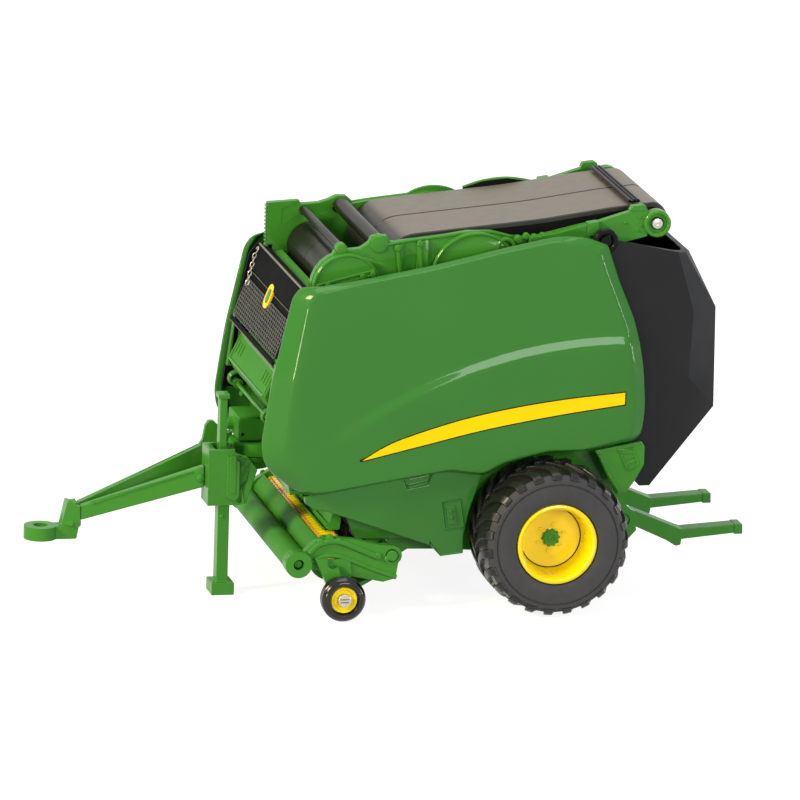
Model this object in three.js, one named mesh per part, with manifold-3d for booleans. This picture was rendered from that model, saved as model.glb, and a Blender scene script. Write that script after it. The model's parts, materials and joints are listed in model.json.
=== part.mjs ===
// Toy round baler, 1:32. Millimetres, +Z up, -X towards the tractor, -Y the machine's left side.
// The shapes are drawn about the wheel axle: x is measured from the axle, z from the ground.
import * as THREE from 'three';
import { ConvexGeometry } from 'three/addons/geometries/ConvexGeometry.js';
import { mergeVertices } from 'three/addons/utils/BufferGeometryUtils.js';
import Module from 'manifold-3d';

const wasm = await Module();
wasm.setup();

// ---------------------------------------------------------------- driving dimensions

const seat = 0.1;              // gap between pieces that are fastened together
const running = 0.3;           // gap around what turns or slides

const bodyLength = 92;         // front to rear edge of the side panels
const bodyHeight = 72;         // wheel axle to the top of the side panels

const tyreRadius = 18.15;
const tyreWidth = 19.4;
const wheelGap = 0.4;          // chamber wall to tyre
const archGap = 0.7;           // tyre to the panels around it
const rimRadius = 9.7;
const rimDepth = 6.3;          // rim lip to wheel disc
const rimLip = 1.1;
const axleRadius = 1.5;
const hubCapRadius = 2.2;
const hubCapHeight = 1.2;

const chamberHalf = 20.5;      // centreline to the inner face of a chamber wall
const wallThickness = 2.2;
const bossHeight = 1.5;        // raised discs and rails on the outside of the walls
const panelWall = 1.7;
const panelDepth = 4.6;        // how far the front edge of a side panel turns inwards
const panelRoll = 2.4;         // the same for its other edges
const panelGap = 0.9;          // tailgate to the rolled edge of a side panel
const skirtGap = 0.4;          // rolled edge of a side panel to the skirt behind it
const skirtWall = 1.6;
const rearSkirtWall = 1.3;
const grilleGap = 2.4;         // grille to the front edge of a side panel
const grilleWall = 1.2;

const hitchHeight = 13.8;      // ground to the middle of the hitch ring
const hitchRingRadius = 4;
const hitchHoleRadius = 1.75;
const hitchThickness = 3.2;
const beamThickness = 2.4;
const beamSpread = 8;          // centreline to a drawbar beam where it meets the jack

const jackY = -9;
const jackPostWide = 1.8;
const jackLegWide = 2.8;
const jackPostDeep = 3.2;
const jackLegDeep = 3.9;
const jackHousingDeep = 8;
const footLong = 5.5;
const footDeep = 6.6;
const footHeight = 3;

const drumRadius = 5.9;
const drumStubRadius = 1.2;
const drumGap = 0.9;           // drum to the lip of the front panel
const thinRollerRadius = 1;
const guideRollerRadius = 1.9;
const guideStubRadius = 1.1;
const rearRollerRadius = 2.5;
const rearPinRadius = 1.5;
const beltEdge = 1.2;          // chamber wall to the edge of the belts
const beltThickness = 1.1;
const armThickness = 2;
const armGap = 0.4;            // chamber wall to a belt arm
const armEyeRadius = 3.3;

const hingePinRadius = 1.3;
const hoodGap = 2.1;           // belt arm to the inside of the tailgate
const hoodWall = 1.5;
const hoodTaper = 4.7;         // how much each side of the tailgate draws in towards its back
const hoodEarRadius = 2.9;

const reelRadius = 5;
const reelHalf = 30.4;
const reelStubRadius = 1.5;
const reelGap = 0.4;           // reel to crop roller
const pickupSideWall = 2.2;
const pickupRollerRadius = 2.9;
const pickupEyeRadius = 3.2;
const pickupEyeBoss = 1.6;
const pickupPegRadius = 1;
const pivotRadius = 1.3;

const gaugeRadius = 5.3;
const gaugeWidth = 4.6;
const gaugeReach = 2.3;        // pickup side to the end of the bracket that carries a gauge wheel
const gaugeRimRadius = 3.15;
const gaugePinRadius = 0.9;
const gaugeHeadRadius = 1.6;

const rampHalf = 15;
const rampWide = 2.2;
const rampTubeRadius = 1.5;

// ---------------------------------------------------------------- where things are

// The drawing this body is scaled from, so that the outlines below follow bodyLength and bodyHeight.
const drawn = { length: 92, height: 72, axle: 18.15 };

// Places a drawn point on the body.
const at = (x, z) => [
  x * bodyLength / drawn.length,
  tyreRadius + (z - drawn.axle) * bodyHeight / drawn.height,
];

// Distances from the centreline, outwards.
const inner = chamberHalf - seat;
const beltHalf = chamberHalf - beltEdge;
const wallOuter = chamberHalf + wallThickness;
const trackInside = wallOuter + wheelGap;
const armHalf = wallOuter + armGap + armThickness;
const hoodHalf = armHalf + hoodGap + hoodWall;
const hoodBackHalf = hoodHalf - hoodTaper;
const panelHalf = hoodHalf + panelGap + panelRoll;
const skirtHalf = panelHalf - panelRoll - skirtGap;
const grilleHalf = panelHalf - panelDepth - grilleGap;
const pickupSideInner = reelHalf + running;
const pickupSideOuter = pickupSideInner + pickupSideWall;
const trackGauge = pickupSideOuter + gaugeReach + running + gaugeWidth / 2;

// Axes across the machine, as [x, z].
const axleAxis = [0, tyreRadius];
const drumAxis = at(-48.2, 78);
const thinRollerAxis = at(-50.1, 86.6);
const guideRollerAxis = at(-41, 87.6);
const rearRollerAxis = at(25.9, 91.9);
const hoodHinge = at(12.6, 88.6);
const rampTube = at(21, 18.6);
const pickupPivot = at(-38, 14.2);
const pickupRollerAxis = at(-60.9, 12.9);
const reelAxis = [pickupRollerAxis[0] + pickupRollerRadius + reelGap + reelRadius, at(0, 13.4)[1]];
const gaugeAxis = [reelAxis[0] + 1.8, gaugeRadius];

const beamFront = at(-107.6, 0)[0];
const beamLow = [at(0, 16.9)[1], at(0, 26)[1]];
const beamHigh = [at(0, 20.4)[1], at(0, 31.2)[1]];
const crossbeamFront = at(-68.4, 0)[0];
const jackLegFront = at(-75.8, 0)[0];
const jackHousingFront = at(-78.8, 0)[0];
const jackHousingBack = at(-72.4, 0)[0];
const jackHousingBottom = at(0, 22.3)[1];
const jackHousingTop = at(0, 36)[1];

// ---------------------------------------------------------------- materials

const finish = (color, roughness, metalness = 0) => {
  return new THREE.MeshStandardMaterial({ color, roughness, metalness });
};
const paint = {
  green: finish(0x2f7d33, 0.35),
  yellow: finish(0xffd400, 0.4),
  black: finish(0x2b2b2d, 0.55),
  belt: finish(0x3a3937, 0.5),
  rubber: finish(0x222222, 0.8),
  steel: finish(0xc8c4bc, 0.3, 0.9),
};

// ---------------------------------------------------------------- solids

// Turns a closed three.js geometry into a solid that can be joined and cut, faces outwards.
function solid(geometry) {
  const bare = geometry.clone();
  bare.deleteAttribute('normal');
  bare.deleteAttribute('uv');
  const merged = mergeVertices(bare, 1e-5);
  const positions = merged.attributes.position.array;
  const corners = Array.from(merged.index.array);
  const triangles = [];
  let volume = 0;
  const corner = (i) => new THREE.Vector3(...positions.slice(i * 3, i * 3 + 3));
  for (let i = 0; i < corners.length; i += 3) {
    const [a, b, c] = corners.slice(i, i + 3);
    if (a === b || b === c || c === a) continue;
    volume += corner(a).dot(corner(b).cross(corner(c)));
    triangles.push([a, b, c]);
  }
  const outward = volume > 0 ? triangles : triangles.map(([a, b, c]) => [a, c, b]);
  return new wasm.Manifold(new wasm.Mesh({
    numProp: 3,
    vertProperties: new Float32Array(positions),
    triVerts: new Uint32Array(outward.flat()),
  }));
}

const join = (first, ...rest) => rest.reduce((whole, piece) => whole.add(piece), first);
const cut = (first, ...tools) => tools.reduce((whole, tool) => whole.subtract(tool), first);

function toGeometry(manifold) {
  const mesh = manifold.getMesh();
  const geometry = new THREE.BufferGeometry();
  const coordinates = new Float32Array(mesh.numVert * 3);
  for (let i = 0; i < mesh.numVert; i += 1) {
    for (let k = 0; k < 3; k += 1) coordinates[i * 3 + k] = mesh.vertProperties[i * mesh.numProp + k];
  }
  geometry.setAttribute('position', new THREE.BufferAttribute(coordinates, 3));
  geometry.setIndex(new THREE.BufferAttribute(new Uint32Array(mesh.triVerts), 1));
  return geometry;
}

const group = new THREE.Group();

function addNode(name, manifold, material) {
  const mesh = new THREE.Mesh(toGeometry(manifold), material.clone());
  mesh.name = name;
  group.add(mesh);
}

// A plate with a side-view outline of [x, z] points, from y0 to y1.
function plate(outline, y0, y1) {
  const shape = new THREE.Shape(outline.map(([x, z]) => new THREE.Vector2(x, z)));
  const depth = Math.abs(y1 - y0);
  const geometry = new THREE.ExtrudeGeometry(shape, { depth, bevelEnabled: false, curveSegments: 12 });
  geometry.rotateX(Math.PI / 2);
  geometry.translate(0, Math.max(y0, y1), 0);
  return solid(geometry);
}

function box(x0, x1, y0, y1, z0, z1) {
  const geometry = new THREE.BoxGeometry(Math.abs(x1 - x0), Math.abs(y1 - y0), Math.abs(z1 - z0));
  geometry.translate((x0 + x1) / 2, (y0 + y1) / 2, (z0 + z1) / 2);
  return solid(geometry);
}

// A disc or rod across the machine, about the axis [x, z].
function rod([x, z], radius, y0, y1, sides = 32) {
  const geometry = new THREE.CylinderGeometry(radius, radius, Math.abs(y1 - y0), sides);
  geometry.translate(x, (y0 + y1) / 2, z);
  return solid(geometry);
}

// A turned shape across the machine: profile points are [radius, y].
function turned([x, z], profile, sides = 48) {
  const points = profile.map(([radius, y]) => new THREE.Vector2(radius, y));
  const geometry = new THREE.LatheGeometry(points, sides);
  geometry.translate(x, 0, z);
  return solid(geometry);
}

// A skin through rings of [x, y, z] points of one count, closed by its first and last rings.
function loft(rings) {
  const count = rings[0].length;
  const index = [];
  for (let r = 0; r < rings.length - 1; r += 1) {
    for (let i = 0; i < count; i += 1) {
      const a = r * count + i;
      const b = r * count + (i + 1) % count;
      index.push(a, b, b + count, a, b + count, a + count);
    }
  }
  const closeWith = (ring, offset, along) => {
    const flat = ring.map(([x, , z]) => new THREE.Vector2(x, z));
    const turn = Math.sign(THREE.ShapeUtils.area(flat));
    for (const face of THREE.ShapeUtils.triangulateShape(flat, [])) {
      const follows = Math.sign(THREE.ShapeUtils.area(face.map((i) => flat[i]))) === turn;
      const ordered = follows === along ? face : [...face].reverse();
      index.push(...ordered.map((i) => i + offset));
    }
  };
  closeWith(rings[0], 0, false);
  closeWith(rings[rings.length - 1], (rings.length - 1) * count, true);
  const geometry = new THREE.BufferGeometry();
  geometry.setAttribute('position', new THREE.Float32BufferAttribute(rings.flat(2), 3));
  geometry.setIndex(index);
  return solid(geometry);
}

// Points on an arc about [x, z], angles in degrees from +x towards +z.
function arc([x, z], radius, from, to, steps = 10) {
  return Array.from({ length: steps + 1 }, (_, i) => {
    const angle = THREE.MathUtils.degToRad(from + (to - from) * i / steps);
    return [x + radius * Math.cos(angle), z + radius * Math.sin(angle)];
  });
}

const drawnOutline = (points) => points.map(([x, z]) => at(x, z));

// The convex solid around a handful of [x, y, z] corners.
const hull = (corners) => solid(new ConvexGeometry(corners.map((corner) => new THREE.Vector3(...corner))));

// Moves each corner of a closed outline inwards by a distance.
function inset(points, distance) {
  const turn = Math.sign(THREE.ShapeUtils.area(points.map(([x, z]) => new THREE.Vector2(x, z))));
  return points.map((point, i) => {
    const before = points[(i + points.length - 1) % points.length];
    const after = points[(i + 1) % points.length];
    const normal = ([ax, az], [bx, bz]) => {
      const length = Math.hypot(bx - ax, bz - az);
      return [-(bz - az) / length * turn, (bx - ax) / length * turn];
    };
    const [nx, nz] = normal(before, point);
    const [mx, mz] = normal(point, after);
    const stretch = distance / (1 + nx * mx + nz * mz);
    return [point[0] + (nx + mx) * stretch, point[1] + (nz + mz) * stretch];
  });
}

const ringAt = (points, y) => points.map(([x, z]) => [x, y, z]);
const sides = [['left', -1], ['right', 1]];

// ---------------------------------------------------------------- drawbar and jack

// The four corners of a drawbar beam's section at x.
function beamSection(side, x) {
  const share = (x - beamFront) / (jackHousingFront - beamFront);
  const along = (start, end) => start + (end - start) * share;
  const middle = side * along(1.6, beamSpread);
  const corners = [];
  for (const across of [-1, 1]) {
    corners.push([x, middle + across * beamThickness / 2, along(...beamLow)]);
    corners.push([x, middle + across * beamThickness / 2, along(...beamHigh)]);
  }
  return corners;
}

function addDrawbar() {
  const ends = { left: jackHousingFront - seat, right: crossbeamFront - seat };
  for (const [name, side] of sides) {
    const beam = hull([...beamSection(side, beamFront + seat), ...beamSection(side, ends[name])]);
    const [lugX, lugTop] = at(-74.6, 37.9);
    const [, lugFoot] = at(0, 29);
    const lugY = side * (beamSpread + 0.7);
    const lug = plate(
      [[lugX - 4, lugFoot], [lugX + 2.4, lugFoot], [lugX + 2.2, lugTop - 1], [lugX + 1.2, lugTop],
        [lugX, lugTop], [lugX - 0.8, lugTop - 1.2], [lugX - 1.4, lugTop - 4.6]],
      lugY - 0.8,
      lugY + 0.8,
    );
    addNode(`drawbar_beam_${name}`, side > 0 ? join(beam, lug) : beam, paint.green);
  }
  const ringX = at(-116.7, 0)[0];
  const low = hitchHeight - hitchThickness / 2;
  const high = hitchHeight + hitchThickness / 2;
  const pad = new THREE.CylinderGeometry(hitchRingRadius, hitchRingRadius, hitchThickness, 40);
  pad.rotateX(Math.PI / 2);
  pad.translate(ringX, 0, hitchHeight);
  const hole = new THREE.CylinderGeometry(hitchHoleRadius, hitchHoleRadius, hitchThickness * 2, 32);
  hole.rotateX(Math.PI / 2);
  hole.translate(ringX, 0, hitchHeight);
  const neckStart = ringX + hitchHoleRadius + 1;
  const neck = box(neckStart, beamFront - 0.8, -2, 2, low, high);
  const web = hull([
    ...[-1.8, 1.8].flatMap((y) => [
      [ringX + hitchRingRadius + 0.6, y, high - 0.4],
      [beamFront - 0.6, y, low],
      [beamFront, y, beamLow[0]],
    ]),
    ...[-2.9, 2.9].flatMap((y) => [
      [beamFront, y, beamLow[0]],
      [beamFront, y, beamHigh[0]],
      [beamFront - 3, y * 0.7, beamHigh[0] + 1],
    ]),
  ]);
  addNode('hitch_eye', cut(join(solid(pad), neck, web), solid(hole)), paint.green);
}

function addJack() {
  const near = jackY - jackHousingDeep / 2;
  const far = jackY + jackHousingDeep / 2;
  const legBack = jackLegFront + jackLegWide;
  const gussetBack = crossbeamFront - seat;
  const body = box(jackHousingFront, jackHousingBack, near, far, jackHousingBottom, jackHousingTop);
  const gusset = plate(
    [[jackHousingBack - 1, jackHousingBottom], [gussetBack - 2.2, jackHousingBottom],
      [gussetBack, at(0, 31)[1]],
      [gussetBack, at(0, 33.2)[1]], [jackHousingBack + 2.2, at(0, 34)[1]],
      [jackHousingBack - 1, jackHousingTop]],
    near,
    near + 1.6,
  );
  const rib = plate(
    [[jackHousingBack - 1.2, at(0, 25.6)[1]], [jackHousingBack + 0.2, at(0, 25)[1]],
      [jackHousingBack + 0.2, at(0, 34.4)[1]], [jackHousingBack - 1.2, at(0, 34.8)[1]]],
    near - 0.7,
    near + 0.4,
  );
  const shaft = box(
    jackLegFront - running,
    legBack + running,
    jackY - jackLegDeep / 2 - running,
    jackY + jackLegDeep / 2 + running,
    jackHousingBottom - 1,
    jackHousingTop + 1,
  );
  const tie = box(jackHousingBack - 0.5, gussetBack, near, far, at(0, 31.2)[1], at(0, 33)[1]);
  addNode('jack_housing', cut(join(body, gusset, tie, rib), shaft), paint.green);

  const shoulder = jackHousingTop - 3;
  const leg = box(
    jackLegFront, legBack, jackY - jackLegDeep / 2, jackY + jackLegDeep / 2, footHeight - 1, shoulder,
  );
  const postTop = at(0, 48)[1];
  const post = box(
    jackLegFront, jackLegFront + jackPostWide, jackY - jackPostDeep / 2, jackY + jackPostDeep / 2,
    shoulder - 1, postTop,
  );
  const cap = box(
    jackLegFront - 0.5, jackLegFront + jackPostWide + 0.5, jackY - jackPostDeep / 2 - 0.4,
    jackY + jackPostDeep / 2 + 0.4, postTop - 0.1, postTop + 1,
  );
  const middle = jackLegFront + jackLegWide / 2;
  const foot = box(
    middle - footLong / 2, middle + footLong / 2, jackY - footDeep / 2, jackY + footDeep / 2, 0, footHeight,
  );
  addNode('jack_leg', join(leg, post, cap, foot), paint.green);
}

// ---------------------------------------------------------------- front of the body

// The front panel's outer face from its foot to its head, then the lip that runs back to the belt drum.
const frontFace = [
  ...drawnOutline([[-60.8, 36.4], [-62.8, 46], [-62.8, 60], [-57.8, 76.4]]),
  [drumAxis[0] - drumRadius - drumGap, at(0, 77)[1]],
];

function addFront() {
  const [, beamBottom] = at(0, 30.6);
  const [beamBack, beamTop] = at(-61.4, 36.2);
  const crossbeam = plate(
    [[crossbeamFront, beamBottom + 1.4], [crossbeamFront + 1.6, beamBottom], [beamBack - 1.4, beamBottom],
      [beamBack, beamBottom + 1.6], [beamBack, beamTop], [crossbeamFront, beamTop]],
    -inner,
    inner,
  );
  addNode('front_crossbeam', crossbeam, paint.green);

  const gearFront = at(-70.2, 0)[0];
  const gearTop = at(0, 41.8)[1];
  const gearBox = box(gearFront, beamBack - 1, -6.5, 6.5, beamTop + seat, gearTop);
  const shaftStub = new THREE.CylinderGeometry(1.5, 1.5, 2.4, 24);
  shaftStub.rotateZ(Math.PI / 2);
  shaftStub.translate(gearFront - 0.8, 0, (beamTop + gearTop) / 2 + 0.3);
  addNode('gearbox', join(gearBox, solid(shaftStub)), paint.green);

  const sheet = 1.5;
  const inwards = ([x, z], i) => [x + (i < 4 ? sheet : 0), z - (i < 3 ? 0 : sheet)];
  const panelBack = frontFace.map(inwards).reverse();
  addNode('front_panel', plate([...frontFace, ...panelBack], -inner, inner), paint.green);

  const boxFace = drawnOutline([[-66.2, 47.6], [-67.5, 50.4], [-64.5, 56.7], [-63.4, 56.7]]);
  const boxBack = [[frontFace[2][0] - seat, boxFace[3][1]], [frontFace[2][0] - seat, boxFace[0][1]]];
  const netBox = plate([...boxFace, ...boxBack], -inner, inner);
  addNode('net_box', netBox, paint.green);
}

function addGrille() {
  const legs = 1.8;
  const [, knee, foot, head] = frontFace;
  const face = [[foot[0] - 2.5, foot[1]], [head[0] - 1.6, head[1] + 1.2]];
  const behind = (points) => points.map(([x, z]) => [x + grilleWall, z]).reverse();
  let grille = plate([...face, ...behind(face)], -grilleHalf, grilleHalf);
  const legLine = [[foot[0] - 2.6, foot[1] + 0.4], [knee[0] - 3.8, knee[1] + 2]];
  for (const side of [-1, 1]) {
    const leg = plate([...legLine, ...behind(legLine)], side * (grilleHalf - legs), side * grilleHalf);
    grille = join(grille, leg);
  }
  addNode('front_grille', grille, paint.black);
}

// ---------------------------------------------------------------- walls, panels and skirts

const wallTop = [
  ...arc([-49, 77.5], 8.4, 176, 66, 8), [-42.4, 87.1], [-34.9, 88.3], [-25, 89.4], [-19.7, 90.2],
  [-13.8, 90.2], [-8.6, 88.8], [-4, 88.4], [8, 91.2], [13, 92.2], [16.2, 90.6], [16.4, 86],
];
const wallFoot = [
  [13.5, 60], [17, 42], [20, 30], [23.6, 24], [24.2, 16], [22, 13.6], [6, 11.6], [-6, 11.6], [-24, 12.8],
  [-32, 13], [-35, 11.2], [-40.6, 11.2], [-42, 14], [-42.4, 20], [-46, 25.4], [-56, 28.8], [-61, 36],
  [-62.6, 46], [-61.6, 60], [-57.6, 76],
];

function addWalls() {
  const outline = drawnOutline([...wallTop, ...wallFoot]);
  const bracketEnd = panelHalf - panelWall - seat;
  const skirtEnd = skirtHalf - skirtWall - seat;
  for (const [name, side] of sides) {
    let wall = plate(outline, side * chamberHalf, side * wallOuter);
    const raise = (points, height = bossHeight) => {
      wall = join(wall, plate(drawnOutline(points), side * (wallOuter - 0.5), side * (wallOuter + height)));
    };
    raise([...arc([-49, 77.5], 8.2, 180, 0, 16)]);
    raise([...arc([-17.7, 79.4], 10.9, 180, 0, 20)]);
    raise([[-36.6, 82], [-35.6, 82], [-35.6, 87.6], [-36.6, 87.4]], 1);
    raise([[-32, 80], [-29.4, 80], [-29.4, 88.6], [-32, 88]], 1);
    for (const [x, z, reach] of [[-50, 58, bracketEnd], [-4, 66, bracketEnd], [-46, 42, bracketEnd]]) {
      const [bx, bz] = at(x, z);
      wall = join(wall, box(bx - 2, bx + 2, side * (wallOuter - 0.5), side * reach, bz - 2, bz + 2));
    }
    for (const [x, z] of [[-36, 25.6], [-25.6, 22.6]]) {
      const [bx, bz] = at(x, z);
      const stay = box(bx - 1.5, bx + 1.5, side * (wallOuter - 0.5), side * skirtEnd, bz - 1.5, bz + 1.5);
      wall = join(wall, stay);
    }
    if (side > 0) {
      const post = drawnOutline([
        [-57, 74], [-55.4, 74], [-55.4, 86.8], [-51, 88.8], [-58.8, 88.4], [-58.8, 78.2], [-57, 78.2],
      ]);
      wall = join(wall, plate(post, side * chamberHalf, side * wallOuter));
    }
    const bores = [
      [axleAxis, axleRadius], [pickupPivot, pivotRadius], [hoodHinge, hingePinRadius],
      [thinRollerAxis, thinRollerRadius], [guideRollerAxis, guideStubRadius], [drumAxis, drumStubRadius],
      [rampTube, rampTubeRadius],
    ];
    for (const [axis, radius] of bores) wall = cut(wall, rod(axis, radius + seat, side * 15, side * 28, 24));
    addNode(`side_wall_${name}`, wall, paint.green);
  }
}

// Outline of a side panel's rim, then of its flat face in the same order of corners.
const panelRim = [
  [-61, 78.7], [-46, 80.7], [-30.1, 83.6], [-14, 87.4], [0.6, 90.4], [8, 89.4], [12.4, 87.6], [15.6, 79.5],
  [20.4, 68.8], [22.6, 58], [23.5, 47.9], [22.6, 40.3], [8.1, 37.8], [-0.6, 37.8], [-10.4, 35.4],
  [-15.6, 32.4], [-24, 33.9], [-40, 31.4], [-54.8, 28.8], [-59.8, 28.4], [-68.4, 35.5], [-69.4, 40.5],
  [-67.1, 56.5], [-62.8, 76.2],
];
const panelFace = [
  [-58.6, 77.6], [-46, 79.6], [-30.1, 82.4], [-14, 86.2], [0.4, 89], [7, 88.2], [11, 86.4], [14.2, 79],
  [18.8, 68.4], [20.8, 57.6], [21.6, 47.9], [20.9, 41.4], [8.1, 39], [-0.6, 39], [-10.8, 36.8],
  [-16.2, 34], [-24.2, 35.2], [-40, 32.8], [-54.4, 30.4], [-58.2, 30.2], [-62.6, 36.2], [-63.8, 41],
  [-62.4, 56.5], [-59.6, 75],
];

function addPanels() {
  const panelFrontEnd = at(-57.4, 0)[0];
  const rim = drawnOutline(panelRim);
  const face = drawnOutline(panelFace);
  const hollowRim = inset(rim, panelWall * 0.75);
  const hollowFace = inset(face, panelWall * 0.75);
  for (const [name, side] of sides) {
    const edge = panelHalf - panelDepth;
    const skin = loft([
      ringAt(rim, side * edge), ringAt(rim, side * (edge + 0.8)), ringAt(face, side * panelHalf),
    ]);
    const hollow = loft([
      ringAt(hollowRim, side * (edge - 1)),
      ringAt(hollowRim, side * (edge + 0.4)),
      ringAt(hollowFace, side * (panelHalf - panelWall)),
    ]);
    const trimEnd = side * (panelHalf - panelRoll);
    const trim = box(panelFrontEnd, bodyLength, side * (edge - 1), trimEnd, 0, 2 * bodyHeight);
    const arch = rod(axleAxis, tyreRadius + archGap, side * (edge - 2), side * (panelHalf + 1), 64);
    addNode(`side_panel_${name}`, cut(skin, hollow, trim, arch), paint.green);
  }
}

function addSkirts() {
  const outline = drawnOutline([
    [-53.6, 27.6], [-50, 30.4], [-40, 32.2], [-24, 35], [-15.8, 32.4], [-18.6, 23.9], [-19.8, 17.8],
    [-19.8, 13.4], [-25.4, 12.8], [-27.8, 16.3], [-53.1, 25.8],
  ]);
  for (const [name, side] of sides) {
    const skirt = plate(outline, side * (skirtHalf - skirtWall), side * skirtHalf);
    const arch = rod(axleAxis, tyreRadius + archGap, side * (skirtHalf - 5), side * (skirtHalf + 5), 64);
    addNode(`lower_skirt_${name}`, cut(skirt, arch), paint.green);
  }
}

// The plate behind each wheel, below the rear corner of the side panel, with the stay that carries it.
function addRearSkirts() {
  const outline = drawnOutline([
    [11.4, 37.9], [22.8, 39.9], [23.6, 38.6], [23.6, 34.2], [21.4, 30.1], [19.5, 27.6], [17.2, 26.9],
  ]);
  const stayFrom = at(15.4, 33);
  const stayTo = at(17.6, 36.5);
  const near = hoodHalf + running;
  for (const [name, side] of sides) {
    const skirt = plate(outline, side * near, side * (near + rearSkirtWall));
    const stay = box(
      stayFrom[0], stayTo[0], side * (wallOuter + seat), side * (near + rearSkirtWall / 2),
      stayFrom[1], stayTo[1],
    );
    const arch = rod(axleAxis, tyreRadius + archGap, side * wallOuter, side * (near + 5), 64);
    addNode(`rear_skirt_${name}`, cut(join(skirt, stay), arch), paint.green);
  }
}

function addFloor() {
  const top = drawnOutline([[-44.6, 28.4], [-30, 24.6], [0, 22.4], [16, 24], [19, 26.6]]);
  const under = top.map(([x, z]) => [x, z - 1.6]).reverse();
  addNode('chamber_floor', plate([...top, ...under], -(chamberHalf - seat), chamberHalf - seat), paint.green);
}

// ---------------------------------------------------------------- rollers, belts and arms

function addRollers() {
  const drum = join(
    rod(drumAxis, drumRadius, -inner + 0.4, inner - 0.4, 40),
    rod(drumAxis, drumStubRadius, -(wallOuter - 0.3), wallOuter - 0.3, 24),
  );
  addNode('belt_drum', drum, paint.black);
  addNode('thin_roller', rod(thinRollerAxis, thinRollerRadius, -wallOuter, wallOuter, 20), paint.black);
  const guide = join(
    rod(guideRollerAxis, guideRollerRadius, -inner + 0.2, inner - 0.2, 28),
    rod(guideRollerAxis, guideStubRadius, -wallOuter, wallOuter, 20),
  );
  addNode('guide_roller', guide, paint.black);
  const rearRoller = cut(
    rod(rearRollerAxis, rearRollerRadius, -(beltHalf - 0.4), beltHalf - 0.4, 32),
    rod(rearRollerAxis, rearPinRadius + seat, -30, 30, 24),
  );
  addNode('rear_roller', rearRoller, paint.black);
  const pinEnd = armHalf + 0.5;
  addNode('rear_roller_pin', rod(rearRollerAxis, rearPinRadius, -pinEnd, pinEnd, 24), paint.steel);
}

function addBelts() {
  const wrap = rearRollerRadius + running + beltThickness;
  const inside = rearRollerRadius + running;
  const lead = drawnOutline([
    [-39.2, 82.6], [-38.4, 84.8], [-34.8, 88.6], [-32.6, 89.3], [-1.3, 92.2], [17, 95],
  ]);
  const tail = arc(rearRollerAxis, wrap, 82, -60, 14);
  const low = drawnOutline([[19, 88.2], [-1, 86.4], [-33, 83.4], [-36.6, 82.4]]);
  const outline = [...lead, ...tail, ...low];
  const pocketTop = drawnOutline([[-34.4, 86.6], [-32.2, 88.1], [-1.3, 91], [17, 93.6]]);
  const pocketLow = drawnOutline([[19, 84], [-1, 82], [-33, 80], [-36, 80]]);
  const block = plate(outline, -beltHalf, beltHalf);
  const pocket = plate([...pocketTop, ...pocketLow], -(beltHalf - 1.2), beltHalf - 1.2);
  const nest = rod(rearRollerAxis, inside, -40, 40, 32);
  addNode('belts', cut(block, pocket, nest), paint.belt);

  const [barX] = at(21.6, 0);
  const base = rearRollerAxis[1] + wrap;
  let clamp = box(barX - 1.5, barX + 1.5, -beltHalf, beltHalf, base, base + 0.35);
  for (const offset of [-0.9, 0.9]) {
    const bar = barX + offset;
    clamp = join(clamp, box(bar - 0.45, bar + 0.45, -beltHalf, beltHalf, base, base + 0.9));
  }
  addNode('belt_clamp', clamp, paint.black);
}

function addBeltArms() {
  const spine = drawnOutline([
    [-5, 86.4], [-5, 89], [1.8, 90], [10.7, 92.3], [19.6, 95], [21.4, 96.4], [23, 96.2], [23.6, 95],
  ]);
  const under = drawnOutline([[23.6, 88.8], [19.9, 87.9], [12.4, 86.2], [6, 86]]);
  for (const [name, side] of sides) {
    const near = side * (armHalf - armThickness);
    const far = side * armHalf;
    let arm = join(plate([...spine, ...under], near, far), rod(rearRollerAxis, armEyeRadius, near, far));
    arm = cut(arm, rod(rearRollerAxis, rearPinRadius + seat, near * 0.5, far * 1.5, 24));
    arm = cut(arm, rod(hoodHinge, hingePinRadius + seat, near * 0.5, far * 1.5, 24));
    addNode(`belt_arm_${name}`, arm, paint.green);
  }
}

// ---------------------------------------------------------------- tailgate and ramp

// The tailgate's block: full width up to a crease, then drawn in towards its back.
function hoodBlock(wall) {
  const half = hoodHalf - wall;
  const backHalf = hoodBackHalf - wall * 0.8;
  const shift = ([x, z], dx, dz) => [x + dx * wall, z + dz * wall];
  const flank = drawnOutline([[9, 92], [28.5, 92], [34.8, 71], [34.1, 55], [25.4, 28.6], [9, 28.6]]);
  const back = drawnOutline([[30.6, 92], [41.4, 71], [41.8, 46.6], [27.2, 28.6]]);
  const flankShift = [[0, 0], [-0.6, 0], [-0.6, 0], [-0.6, 0], [-0.7, 1], [0, 1]];
  const backShift = [[-1, 0], [-1, 0], [-1, 0.2], [-0.7, 1]];
  const corners = [];
  for (const side of [-1, 1]) {
    flank.forEach((point, i) => {
      const [x, z] = shift(point, ...flankShift[i]);
      corners.push([x, side * half, z]);
    });
    back.forEach((point, i) => {
      const [x, z] = shift(point, ...backShift[i]);
      corners.push([x, side * backHalf, z]);
    });
  }
  return hull(corners);
}

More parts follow.
